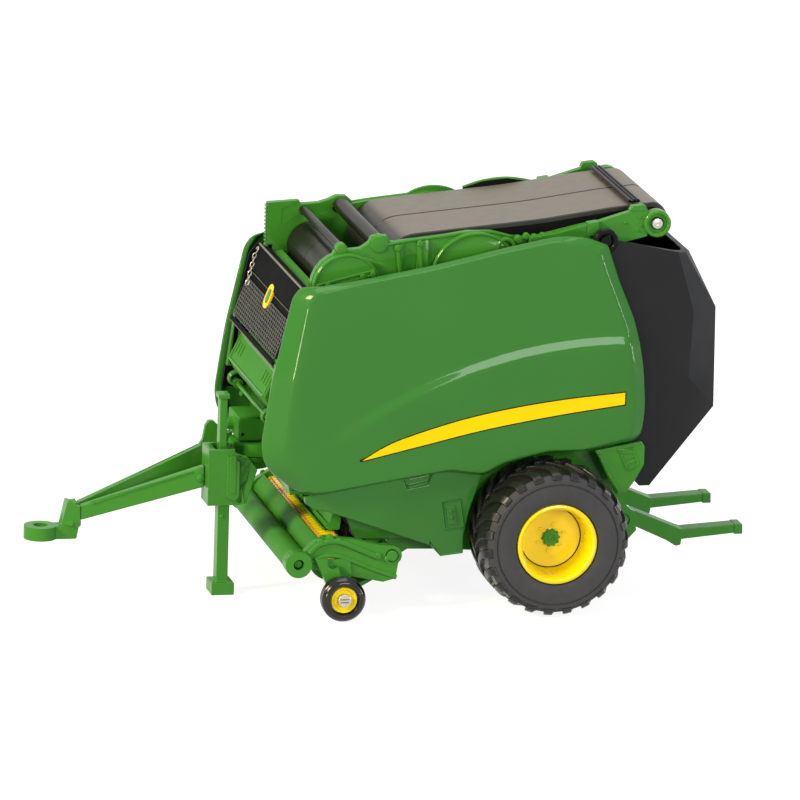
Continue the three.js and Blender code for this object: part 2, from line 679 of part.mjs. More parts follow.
function addTailgate() {
  const wide = hoodHalf + 1;
  const frontCut = drawnOutline([
    [0, 95], [12, 95], [11.4, 84], [16.4, 62], [18.8, 45], [20.6, 34], [23.6, 27], [23.6, 20], [0, 20],
  ]);
  const topCut = drawnOutline([[0, 100], [0, 91.6], [34.6, 84.8], [60, 79.6], [60, 100]]);
  let hood = cut(hoodBlock(0), hoodBlock(hoodWall), plate(frontCut, -wide, wide), plate(topCut, -wide, wide));
  for (const [, side] of sides) {
    hood = join(hood, rod(hoodHinge, hoodEarRadius, side * (hoodHalf - hoodWall), side * hoodHalf, 32));
    hood = cut(hood, rod(hoodHinge, hingePinRadius + running, side * 20, side * 34, 24));
  }
  addNode('rear_hood', hood, paint.black);
  for (const [name, side] of sides) {
    const end = side * (hoodHalf + 0.6);
    addNode(`hinge_pin_${name}`, rod(hoodHinge, hingePinRadius, side * chamberHalf, end, 24), paint.steel);
  }
}

function addRamp() {
  addNode('ramp_tube', rod(rampTube, rampTubeRadius, -(wallOuter - 0.2), wallOuter - 0.2, 24), paint.green);
  const outline = drawnOutline([
    [22.6, 19.4], [25.4, 19.2], [36.6, 14.4], [51.4, 15.2], [52.2, 14.9], [52.2, 13.2], [51.4, 12.8],
    [37, 11.4], [33.4, 11.8], [25, 15.8], [22.6, 16.8],
  ]);
  for (const [name, side] of sides) {
    const middle = side * rampHalf;
    const clampRing = rod(rampTube, rampTubeRadius + 1.2, middle - rampWide / 2, middle + rampWide / 2, 24);
    const arm = join(plate(outline, middle - rampWide / 2, middle + rampWide / 2), clampRing);
    const bore = rod(rampTube, rampTubeRadius + seat, middle - 5, middle + 5, 24);
    addNode(`ramp_arm_${name}`, cut(arm, bore), paint.green);
  }
}

// ---------------------------------------------------------------- running wheels

function addWheels() {
  const axleEnd = trackInside + tyreWidth - rimDepth;
  addNode('axle', rod(axleAxis, axleRadius, -(axleEnd - 0.2), axleEnd - 0.2, 24), paint.steel);
  for (const [name, side] of sides) {
    const y = (depth) => side * (trackInside + tyreWidth - depth);
    const beadRadius = rimRadius + seat;
    const shoulder = 2.6;
    const tyre = [
      [beadRadius, y(0.9)], [beadRadius + 0.8, y(0.2)], [tyreRadius - 4.4, y(0)], [tyreRadius - 2.2, y(0.7)],
      [tyreRadius - 0.5, y(shoulder)], [tyreRadius, y(shoulder + 1.8)],
      [tyreRadius, y(tyreWidth - shoulder - 1.8)], [tyreRadius - 0.5, y(tyreWidth - shoulder)],
      [tyreRadius - 2.2, y(tyreWidth - 0.7)], [tyreRadius - 4.4, y(tyreWidth)],
      [beadRadius + 0.8, y(tyreWidth - 0.2)], [beadRadius, y(tyreWidth - 0.9)], [beadRadius, y(0.9)],
    ];
    addNode(`tyre_${name}`, turned(axleAxis, tyre, 56), paint.rubber);
    const barrel = rimRadius - 2.9;
    const bore = axleRadius + running;
    const rim = [
      [bore, y(rimDepth)], [barrel - 0.8, y(rimDepth)], [barrel, y(rimDepth - 1)], [barrel, y(3.4)],
      [rimRadius - rimLip, y(1.6)], [rimRadius - rimLip + 0.3, y(0.4)], [rimRadius, y(0.4)],
      [rimRadius, y(tyreWidth - 0.4)], [rimRadius - rimLip, y(tyreWidth - 0.4)], [barrel, y(tyreWidth - 3.4)],
      [barrel, y(rimDepth + 3.2)], [bore + 1.4, y(rimDepth + 2.2)], [bore + 1.4, y(tyreWidth - 0.4)],
      [bore, y(tyreWidth - 0.4)], [bore, y(rimDepth)],
    ];
    addNode(`rim_${name}`, turned(axleAxis, rim, 56), paint.yellow);
    const cap = rod(axleAxis, hubCapRadius, y(rimDepth - seat), y(rimDepth - seat - hubCapHeight), 24);
    addNode(`hub_cap_${name}`, cap, paint.green);
  }
}

// ---------------------------------------------------------------- pickup

function addPickup() {
  const reach = pickupSideInner - seat;
  const [rollerX, rollerZ] = pickupRollerAxis;
  const [pivotX, pivotZ] = pickupPivot;
  const [reelX, reelZ] = reelAxis;
  const shaftEnd = pickupSideOuter + 0.6;
  addNode('pickup_shaft', rod(pickupPivot, pivotRadius, -shaftEnd, shaftEnd, 24), paint.green);

  const sideOutline = [
    ...arc(pickupRollerAxis, pickupEyeRadius, 300, 60, 14),
    [rollerX + 3.2, rollerZ + 4.4], [reelX - 2, reelZ + 5.8], [reelX + 5, reelZ + 5],
    [pivotX - 3, pivotZ + 2.6],
    ...arc(pickupPivot, 2.4, 80, -50, 6), [pivotX + 1, pivotZ - 5.6], [pivotX - 2, pivotZ - 6.4],
    [reelX, reelZ - 3], [rollerX + 3.4, rollerZ - 1.6],
  ];
  for (const [name, side] of sides) {
    const near = side * pickupSideInner;
    const far = side * pickupSideOuter;
    const bracketOuter = side * (pickupSideOuter + gaugeReach);
    const bracket = hull([pickupSideOuter * side - side * 0.5, bracketOuter].flatMap((y) => [
      [gaugeAxis[0] - 6.2, y, rollerZ + 1.4], [gaugeAxis[0] - 1.6, y, rollerZ + 1.4],
      [gaugeAxis[0] + 1.6, y, gaugeRadius + 1], [gaugeAxis[0] + 1.4, y, gaugeRadius - 1.6],
      [gaugeAxis[0] - 1.4, y, gaugeRadius - 1.6], [gaugeAxis[0] - 2.6, y, gaugeRadius + 2],
    ]));
    const boss = rod(pickupRollerAxis, pickupEyeRadius, near, far + side * pickupEyeBoss, 32);
    let plateSide = join(plate(sideOutline, near, far), boss, bracket);
    plateSide = cut(plateSide, rod(pickupRollerAxis, pickupPegRadius + running, side * 20, side * 44, 20));
    plateSide = cut(plateSide, rod(pickupPivot, pivotRadius + running, side * 20, side * 44, 20));
    plateSide = cut(plateSide, rod(gaugeAxis, gaugePinRadius + seat, side * 20, side * 44, 20));
    plateSide = cut(plateSide, rod(reelAxis, reelStubRadius + seat, side * 20, side * 44, 20));
    addNode(`pickup_side_${name}`, plateSide, paint.green);
  }
  const reel = join(
    rod(reelAxis, reelRadius, -(reelHalf - 0.2), reelHalf - 0.2, 40),
    rod(reelAxis, reelStubRadius, -(pickupSideOuter - 0.2), pickupSideOuter - 0.2, 20),
  );
  addNode('pickup_reel', reel, paint.yellow);
  const [[barX, barZ]] = arc(reelAxis, reelRadius, 125, 125, 1);
  const bar = plate([
    [barX - 3.1, barZ - 0.5], [barX - 1.9, barZ + 1.1], [barX - 1.3, barZ + 0.9], [barX, barZ + 3.7],
    [barX + 1.3, barZ + 3.5], [barX - 0.3, barZ + 0.5], [barX - 2.1, barZ - 1.1],
  ], -reach, reach);
  addNode('pickup_crossbar', bar, paint.green);
  const pan = plate([
    [reelX + 5.4, reelZ - 8.6], [pivotX - 1.6, pivotZ - 5.2], [pivotX - 1.6, pivotZ - 4],
    [reelX + 5, reelZ - 7.5],
  ], -reach, reach);
  addNode('pickup_pan', pan, paint.green);
  const roller = join(
    rod(pickupRollerAxis, pickupRollerRadius, -(reelHalf - 0.1), reelHalf - 0.1, 28),
    rod(pickupRollerAxis, pickupPegRadius, -(pickupSideOuter + 0.6), pickupSideOuter + 0.6, 20),
  );
  addNode('pickup_roller', roller, paint.green);
}

function addGaugeWheels() {
  for (const [name, side] of sides) {
    const y = (out) => side * (trackGauge + out);
    const half = gaugeWidth / 2;
    const bead = gaugeRimRadius + seat;
    const tyre = [
      [bead, y(half - 0.5)], [bead + 0.6, y(half)], [gaugeRadius - 0.9, y(half)], [gaugeRadius, y(half - 1)],
      [gaugeRadius, y(1 - half)], [gaugeRadius - 0.9, y(-half)], [bead + 0.6, y(-half)],
      [bead, y(0.5 - half)],
      [bead, y(half - 0.5)],
    ];
    addNode(`gauge_tyre_${name}`, turned(gaugeAxis, tyre, 40), paint.rubber);
    const bore = gaugePinRadius + running * 0.7;
    const rim = [
      [bore, y(half - 1)], [gaugeRimRadius - 0.8, y(half - 1)], [gaugeRimRadius - 0.5, y(half - 0.5)],
      [gaugeRimRadius, y(half - 0.5)], [gaugeRimRadius, y(0.5 - half)], [bore, y(0.5 - half)],
      [bore, y(half - 1)],
    ];
    addNode(`gauge_rim_${name}`, turned(gaugeAxis, rim, 40), paint.yellow);
    const headIn = half - 1 + running;
    const pin = join(
      rod(gaugeAxis, gaugePinRadius, side * pickupSideInner, y(headIn + 0.2), 20),
      rod(gaugeAxis, gaugeHeadRadius, y(headIn), y(headIn + 0.8), 24),
    );
    addNode(`gauge_pin_${name}`, pin, paint.steel);
  }
}

addDrawbar();
addJack();
addFront();
addGrille();
addWalls();
addPanels();
addSkirts();
addRearSkirts();
addFloor();
addRollers();
addBelts();
addBeltArms();
addTailgate();
addRamp();
addWheels();
addPickup();
addGaugeWheels();

// The model stands with its origin under the middle of its own box.
const extent = new THREE.Box3().setFromObject(group);
const centre = extent.getCenter(new THREE.Vector3());
group.position.set(-centre.x, -centre.y, -extent.min.z);

export default group;
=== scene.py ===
"""The looks of a 1:32 toy round baler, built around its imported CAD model."""

import json
import math

import bmesh
import bpy
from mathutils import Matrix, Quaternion, Vector

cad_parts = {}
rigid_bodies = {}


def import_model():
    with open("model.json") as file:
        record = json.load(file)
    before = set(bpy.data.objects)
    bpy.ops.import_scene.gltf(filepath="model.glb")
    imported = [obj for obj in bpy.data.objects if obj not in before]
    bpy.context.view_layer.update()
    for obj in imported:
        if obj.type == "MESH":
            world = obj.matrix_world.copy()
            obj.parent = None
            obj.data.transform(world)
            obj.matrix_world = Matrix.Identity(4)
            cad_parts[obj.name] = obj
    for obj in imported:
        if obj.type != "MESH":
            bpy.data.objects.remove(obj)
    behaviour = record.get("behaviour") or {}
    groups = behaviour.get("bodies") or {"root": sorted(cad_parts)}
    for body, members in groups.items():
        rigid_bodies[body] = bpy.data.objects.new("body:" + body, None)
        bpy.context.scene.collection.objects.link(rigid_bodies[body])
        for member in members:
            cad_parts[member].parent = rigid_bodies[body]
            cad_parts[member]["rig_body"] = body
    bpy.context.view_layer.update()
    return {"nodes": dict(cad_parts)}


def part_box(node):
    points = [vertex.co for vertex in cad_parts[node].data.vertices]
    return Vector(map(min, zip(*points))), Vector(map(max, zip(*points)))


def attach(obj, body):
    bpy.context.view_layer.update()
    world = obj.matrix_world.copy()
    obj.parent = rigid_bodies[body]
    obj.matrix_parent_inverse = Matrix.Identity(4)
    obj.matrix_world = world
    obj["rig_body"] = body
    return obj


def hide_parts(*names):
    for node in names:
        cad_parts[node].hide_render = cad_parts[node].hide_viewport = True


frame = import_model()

MM = 0.001
SIDES = (("left", -1), ("right", 1))


# --- places taken from the frame, in millimetres

def extent(node):
    """Lowest and highest corner of a CAD node."""
    low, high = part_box(node)
    return low / MM, high / MM


def middle(node):
    low, high = extent(node)
    return (low + high) / 2


def half_size(node):
    low, high = extent(node)
    return (high - low) / 2


AXLE = middle("tyre_left")


def place(x, y, z):
    """A point given from the wheel axle, the machine's middle and the ground."""
    return x + AXLE.x, y, z


def outline(points):
    """A line of the side view, given from the wheel axle and the ground."""
    return [(x + AXLE.x, z) for x, z in points]


PANEL_HALF = -extent("side_panel_left")[0].y
SKIRT_HALF = -extent("lower_skirt_left")[0].y
CHAMBER_HALF = -extent("side_wall_left")[1].y
WALL = 2.2
WALL_OUTER = CHAMBER_HALF + WALL
WALL_RAISED = WALL_OUTER + 1.5
ARM_OUTER = -extent("belt_arm_left")[0].y
HOOD_HALF = -extent("rear_hood")[0].y
PICKUP_OUTER = PANEL_HALF + 0.9


# --- shapes

def smoothstep(start, end, value):
    share = min(1, max(0, (value - start) / (end - start)))
    return share * share * (3 - 2 * share)


def round_angles(count):
    return [2 * math.pi * i / count for i in range(count)]


def arc(centre, radius, start, end, steps=12):
    """Points of an arc in the side view, angles in degrees."""
    angles = [math.radians(start + (end - start) * i / steps) for i in range(steps + 1)]
    return [(centre[0] + radius * math.cos(a), centre[1] + radius * math.sin(a)) for a in angles]


def through(points, pieces=6):
    """A smooth line through points, with that many pieces between two of them."""
    knots = [Vector(p) for p in points]
    knots = [knots[0] * 2 - knots[1], *knots, knots[-1] * 2 - knots[-2]]
    line = []
    for a, b, c, d in zip(knots, knots[1:], knots[2:], knots[3:]):
        for t in (i / pieces for i in range(pieces)):
            line.append(0.5 * (2 * b + (c - a) * t + (2 * a - 5 * b + 4 * c - d) * t * t
                               + (3 * b - a - 3 * c + d) * t ** 3))
    return [*line, knots[-2]]


def rounded(points, radius, steps=4, spans=None):
    """A closed outline with its corners rounded. spans divides each straight stretch."""
    corners = [Vector(p) for p in points]
    reaches = radius if isinstance(radius, list) else [radius] * len(corners)
    cuts = []
    for i, corner in enumerate(corners):
        back = corners[i - 1] - corner
        ahead = corners[(i + 1) % len(corners)] - corner
        reach = min(reaches[i], 0.45 * back.length, 0.45 * ahead.length)
        cuts.append((corner + back.normalized() * reach, corner,
                     corner + ahead.normalized() * reach))
    line = []
    for i, (start, corner, end) in enumerate(cuts):
        for t in (k / steps for k in range(steps + 1)):
            line.append(start * (1 - t) ** 2 + corner * 2 * t * (1 - t) + end * t * t)
        following = cuts[(i + 1) % len(cuts)][0]
        count = spans[i] if spans else 1
        line += [end.lerp(following, k / count) for k in range(1, count)]
    return line


def about(centre, points):
    """A line of the side view, given from a centre."""
    return [(centre.x + x, centre.z + z) for x, z in points]


def inset(radius, half, drops):
    """A profile given by how far it is in from a radius and from an end."""
    return [(radius - drop, half - back) for drop, back in drops]


def both_ends(profile):
    """A profile of (radius, distance) that is given for one end, with the other end added."""
    return [*profile, *[(radius, -y) for radius, y in reversed(profile) if y]]


class Shape:
    """Closed shapes, in millimetres, that become one piece."""

    def __init__(self):
        self.points = []
        self.faces = []

    def skin(self, rings, loop=False):
        """Joins rings of equal length. Without loop, the first and last are closed by a face."""
        count = len(rings[0])
        first = len(self.points)
        self.points += [tuple(point) for ring in rings for point in ring]
        for r in range(len(rings) if loop else len(rings) - 1):
            a = first + r * count
            b = first + (r + 1) % len(rings) * count
            for i in range(count):
                j = (i + 1) % count
                self.faces.append((a + i, a + j, b + j, b + i))
        if not loop:
            last = first + (len(rings) - 1) * count
            self.faces += [tuple(range(start, start + count)) for start in (first, last)]
        return self

    def plate(self, side_view, near, far):
        """A flat piece that lies along the side view, from y near to y far."""
        return self.skin([[(x, y, z) for x, z in side_view] for y in (near, far)])

    def block(self, low, high):
        corners = [(low[0], low[1]), (high[0], low[1]), (high[0], high[1]), (low[0], high[1])]
        return self.skin([[(x, y, z) for x, y in corners] for z in (low[2], high[2])])

    def turn(self, origin, axis, profile, steps=48, loop=False):
        """Turns a profile of (radius, distance along the axis). An axis of 1 or -1 is that of y."""
        along = Vector(axis if isinstance(axis, tuple) else (0, axis, 0)).normalized()
        side = along.orthogonal().normalized()
        up = along.cross(side)
        spokes = [side * math.cos(a) + up * math.sin(a) for a in round_angles(steps)]
        return self.skin([[Vector(origin) + along * distance + spoke * radius for spoke in spokes]
                          for radius, distance in profile], loop)

    def disc(self, origin, axis, radius, height, edge=0.2, steps=32):
        """A round boss with a softened edge."""
        soft = [(radius - edge * (1 - math.sin(a)), height - edge * (1 - math.cos(a)))
                for a in (math.pi / 2, math.pi / 3, math.pi / 6, 0)]
        return self.turn(origin, axis, [(radius, 0), *soft], steps)

    def tube(self, path, radius, sides=8, loop=False):
        line = [Vector(p) for p in path]
        rings = []
        side = None
        for i, point in enumerate(line):
            ahead = line[(i + 1) % len(line)] if loop or i + 1 < len(line) else point
            behind = line[i - 1] if loop or i else point
            tangent = (ahead - behind).normalized()
            side = tangent.orthogonal() if side is None else side - tangent * side.dot(tangent)
            side.normalize()
            up = tangent.cross(side)
            angles = [a + math.pi / sides for a in round_angles(sides)]
            rings.append([point + (side * math.cos(a) + up * math.sin(a)) * radius for a in angles])
        return self.skin(rings, loop)

    def ridge(self, side_view, y, radius, sides=8, loop=False):
        """A round bead along a line of the side view."""
        return self.tube([(x, y, z) for x, z in side_view], radius, sides, loop)


# --- materials

def linear(colour):
    """The linear colour of an sRGB colour of 0 to 255."""
    shares = [value / 255 for value in colour]
    return *[s / 12.92 if s <= 0.04045 else ((s + 0.055) / 1.055) ** 2.4 for s in shares], 1


def fill(tree, node, sockets):
    """Links each named socket of a node to a socket, or sets it to a value."""
    for name, value in sockets.items():
        if isinstance(value, bpy.types.NodeSocket):
            tree.links.new(value, node.inputs[name])
        else:
            node.inputs[name].default_value = value


def add(tree, kind, sockets):
    node = tree.nodes.new("ShaderNode" + kind)
    fill(tree, node, sockets)
    return node.outputs


def noise(tree, where, size, detail, stretch):
    """A noise whose features are about size millimetres across."""
    where = add(tree, "Mapping", {"Vector": where, "Scale": stretch})["Vector"]
    sockets = {"Vector": where, "Scale": 1 / (size * MM), "Detail": detail}
    return add(tree, "TexNoise", sockets)["Fac"]


def spread(tree, value, low, high, start=0.3, end=0.7):
    """The value's stretch from start to end, spread from low to high."""
    bounds = {"From Min": start, "From Max": end, "To Min": low, "To Max": high}
    return add(tree, "MapRange", {"Value": value, **bounds})["Result"]


def mixed(tree, share, first, second):
    mix = tree.nodes.new("ShaderNodeMix")
    mix.data_type = "RGBA"
    fill(tree, mix, {0: share, 6: first, 7: second})
    return mix.outputs[2]


def finish(name, slot, colour, other, roughness, bumps, blotch, specular,
           coat=(0, 0.03), stretch=(1, 1, 1), painted_sheen=None, metallic=0):
    """A surface that wanders between two colours and two roughnesses, with bumps (size, height).

    blotch is the size of what wanders, coat a weight and a roughness, and the sheen colour is
    painted on what faces up: a painted sheen of reflected light."""
    material = bpy.data.materials.new(name)
    material.use_nodes = True
    tree = material.node_tree
    where = tree.nodes.new("ShaderNodeTexCoord").outputs["Object"]
    share = spread(tree, noise(tree, where, blotch, 4, stretch), 0, 0.5)
    paint = mixed(tree, share, linear(colour), linear(other))
    # Faces that point up are mixed towards a lighter colour: a painted sheen standing in for the
    # lights' reflection.
    if painted_sheen:
        geometry = tree.nodes.new("ShaderNodeNewGeometry").outputs["Normal"]
        up = add(tree, "SeparateXYZ", {0: geometry})["Z"]
        paint = mixed(tree, spread(tree, up, 0, 0.9, 0.78, 0.99), paint, linear(painted_sheen))
    rough = spread(tree, noise(tree, where, blotch / 4, 5, stretch), *roughness)
    normal = {}
    for size, height in bumps:
        grain = noise(tree, where, size, 2, stretch)
        sockets = {"Strength": 1, "Distance": height * MM, "Height": grain, **normal}
        normal = {"Normal": add(tree, "Bump", sockets)["Normal"]}
    fill(tree, tree.nodes["Principled BSDF"], {
        "Base Color": paint, "Roughness": rough, **normal, "Specular IOR Level": specular,
        "Metallic": metallic, "Coat Weight": coat[0], "Coat Roughness": coat[1]})
    return material, slot


GREEN = finish("green_paint", "green_paint", (64, 138, 44), (55, 125, 38), (0.24, 0.32),
    [(1.6, 0.003), (0.35, 0.0008)], 14, 0.03, coat=(0.26, 0.06))
PANEL_GREEN = finish("panel_green", "green_paint", (54, 122, 46), (49, 115, 42), (0.24, 0.3),
    [(3, 0.002), (0.4, 0.0004)], 30, 0.03, coat=(0.35, 0.06))
FLAT_GREEN = finish("flat_green", "green_paint", (63, 138, 44), (53, 125, 38), (0.42, 0.5),
    [(1.6, 0.003), (0.35, 0.0008)], 14, 0.03, coat=(0.03, 0.2))
YELLOW = finish("yellow_plastic", "yellow_plastic", (250, 222, 0), (242, 210, 0), (0.2, 0.3),
    [(1.4, 0.004), (0.3, 0.001)], 5, 0.2, coat=(0.4, 0.08))
DECAL = finish("stripe_yellow", "yellow_plastic", (255, 218, 0), (251, 206, 0), (0.3, 0.38),
    [(0.5, 0.001)], 6, 0.15)
TINE = finish("tine_orange", "yellow_plastic", (232, 168, 70), (200, 116, 20), (0.35, 0.45),
    [(0.6, 0.004)], 2, 0.2)
HOOD = finish("hood_black", "black_plastic", (34, 35, 38), (27, 28, 31), (0.42, 0.52),
    [(0.3, 0.006), (3, 0.008)], 16, 0.12)
BLACK = finish("black_plastic", "black_plastic", (17, 17, 19), (10, 10, 11), (0.24, 0.34),
    [(0.6, 0.003)], 8, 0.1)
MESH_GREY = finish("mesh_grey", "black_plastic", (102, 107, 112), (76, 81, 86), (0.4, 0.5),
    [(0.4, 0.004)], 3, 0.04)
EDGE_GREY = finish("edge_grey", "black_plastic", (128, 124, 120), (100, 97, 94), (0.4, 0.5),
    [(0.4, 0.004)], 3, 0.1)
ROLLER = finish("roller_grey", "black_plastic", (30, 29, 28), (22, 21, 21), (0.26, 0.34),
    [(0.5, 0.0012)], 9, 0.12, stretch=(1, 0.2, 1))
GRILLE = finish("grille_black", "black_plastic", (26, 29, 31), (19, 22, 24), (0.5, 0.6),
    [(0.4, 0.003)], 5, 0.006)
# The belt's upward faces are painted a pale warm grey: a painted sheen of the lights on the rubber.
BELT = finish("belt_rubber", "belt_rubber", (44, 43, 42), (36, 36, 35), (0.38, 0.44),
    [(0.25, 0.003), (4, 0.003)], 12, 0.4, painted_sheen=(108, 102, 93))
BELT_EDGE = finish("belt_edge", "belt_rubber", (14, 14, 14), (8, 8, 8), (0.5, 0.62),
    [(0.4, 0.006)], 6, 0.08)
TYRE = finish("tyre_rubber", "tyre", (66, 67, 71), (55, 56, 60), (0.55, 0.7),
    [(0.22, 0.009), (1.5, 0.008)], 5, 0.2)
TREAD = finish("tread_rubber", "tyre", (27, 27, 28), (17, 17, 18), (0.26, 0.4),
    [(0.3, 0.005)], 4, 0.35)
GLOSS_TYRE = finish("small_tyre", "tyre", (12, 12, 13), (7, 7, 8), (0.14, 0.22),
    [(0.5, 0.003)], 2, 0.3, coat=(0.3, 0.05))
STEEL = finish("steel_pin", "steel_pin", (190, 186, 180), (140, 137, 132), (0.26, 0.42),
    [(0.3, 0.008)], 1.2, 0.5, stretch=(1, 0.3, 1), metallic=1)


# --- pieces

def settle(name, mesh, surface, body, replaces, bevel=0, rounds=2, smooth=35):
    """Gives a mesh its finish, its softened edges and its body."""
    mesh.polygons.foreach_set("use_smooth", [True] * len(mesh.polygons))
    mesh.set_sharp_from_angle(angle=math.radians(smooth))
    mesh.materials.clear()
    material, slot = surface
    mesh.materials.append(material)
    piece = bpy.data.objects.new(name, mesh)
    bpy.context.scene.collection.objects.link(piece)
    if bevel:
        soften = piece.modifiers.new("soften", "BEVEL")
        soften.width = bevel * MM
        soften.segments = rounds
        soften.limit_method = "ANGLE"
        soften.angle_limit = math.radians(28)
        soften.harden_normals = True
    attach(piece, body)
    if replaces:
        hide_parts(*replaces)


def mesh_of(shape, name):
    bm = bmesh.new()
    points = [bm.verts.new(Vector(point) * MM) for point in shape.points]
    for face in shape.faces:
        bm.faces.new([points[i] for i in face])
    bmesh.ops.remove_doubles(bm, verts=bm.verts, dist=1e-4 * MM)
    bmesh.ops.dissolve_degenerate(bm, edges=bm.edges, dist=1e-5 * MM)
    bmesh.ops.recalc_face_normals(bm, faces=bm.faces)
    mesh = bpy.data.meshes.new(name)
    bm.to_mesh(mesh)
    bm.free()
    return mesh


def make(name, shape, surface, body="chassis", replaces=(), **edges):
    settle(name, mesh_of(shape, name), surface, body, replaces, **edges)


def remake(node, shape, surface, **edges):
    """A shape that stands for a CAD node, on the node's own body."""
    make("fine_" + node, shape, surface, frame["nodes"][node]["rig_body"], [node], **edges)


def dressed(node, surface, bevel=0.25, rounds=2, smooth=32, carved=None):
    """A CAD node's own shape with softened edges, and with the carved shape taken out of it."""
    bm = bmesh.new()
    bm.from_mesh(frame["nodes"][node].data)
    bmesh.ops.remove_doubles(bm, verts=bm.verts, dist=1e-3 * MM)
    flat = math.radians(0.6)
    bmesh.ops.dissolve_limit(bm, angle_limit=flat, verts=bm.verts, edges=bm.edges)
    mesh = bpy.data.meshes.new("fine_" + node)
    bm.to_mesh(mesh)
    bm.free()
    if carved:
        mesh = carve(mesh, carved)
    body = frame["nodes"][node]["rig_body"]
    settle("fine_" + node, mesh, surface, body, [node], bevel, rounds, smooth)


def carve(mesh, shape):
    block = bpy.data.objects.new("block", mesh)
    tool = bpy.data.objects.new("tool", mesh_of(shape, "tool"))
    for thing in (block, tool):
        bpy.context.scene.collection.objects.link(thing)
    cut = block.modifiers.new("cut", "BOOLEAN")
    cut.operation = "DIFFERENCE"
    cut.solver = "EXACT"
    cut.object = tool
    bpy.context.view_layer.update()
    result = block.evaluated_get(bpy.context.evaluated_depsgraph_get())
    done = bpy.data.meshes.new_from_object(result)
    for thing in (block, tool):
        bpy.data.objects.remove(thing)
    done.name = mesh.name + "_carved"
    return done


# --- drawbar and jack

def make_drawbar():
    for name, side in SIDES:
        dressed("drawbar_beam_" + name, GREEN, 0.35, 3)
    dressed("hitch_eye", GREEN, 0.45, 3)
    low, high = extent("hitch_eye")
    yoke = Shape()
    yoke.turn((low.x + 11.2, 0, high.z - 5.8), (-0.18, 0, -1),
              [(0, -5.4), (1.2, -5.4), (1.9, -4.6), (2.9, 0.2), (0, 0.2)], 8)
    yoke.turn((high.x - 0.9, 0, high.z - 2.2), (1, 0, 0.2),
              [(0, -1.4), (2, -1.4), (2.5, -0.6), (2.5, 0.6), (0, 0.6)], 8)
    make("hitch_yoke", yoke, GREEN, bevel=0.25, rounds=3, smooth=25)
    low, high = extent("drawbar_beam_left")
    bolts = Shape().tube([(low.x + 2, low.y + 5.4, low.z + 4.7),
                          (high.x - 3, low.y + 0.35, high.z - 1.35)], 0.14, 6)
    bolts.disc((high.x - 0.9, low.y + 0.5, high.z - 3), -1, 1, 0.9, 0.4)
    make("drawbar_bolt", bolts, GREEN)


def make_jack():
    low, high = extent("jack_housing")
    leg = middle("jack_leg")
    pocket = Shape().block((leg.x - 2.6, leg.y - 2.9, high.z - 3.4),
                           (leg.x + 2.6, leg.y + 2.9, high.z + 1))
    dressed("jack_housing", GREEN, 0.3, 3, carved=pocket)
    dressed("jack_leg", GREEN, 0.3, 3)
    front = leg.y - 4
    details = Shape()
    tongue = [(low.x + 4.4, high.z - 1.2), *arc((low.x + 6, low.z + 2.8), 1.6, 180, 360, 10),
              (low.x + 7.6, high.z - 3)]
    details.plate(tongue, front + 0.2, front - 0.55)
    gusset = [(low.x + 8.1, low.z + 4.6), (low.x + 8.3, low.z + 0.5), (low.x + 9.1, low.z + 0.5)]
    details.plate(gusset, front + 0.8, front - 0.3)
    cheek = outline([(-72, 35), (-69.4, 34.2), (-66.8, 31), (-69.4, 22.6), (-72, 22.6)])
    details.plate(cheek, low.y + 0.7, low.y + 1.6)
    make("jack_rib", details, GREEN, bevel=0.22, rounds=3)
    pin_place = (leg.x - 0.4, extent("jack_leg")[0].y + 1.5, low.z - 3.2)
    make("jack_pin", Shape().disc(pin_place, -1, 0.5, 0.45, 0.25, 16), GREEN, "jack")


# --- front of the body

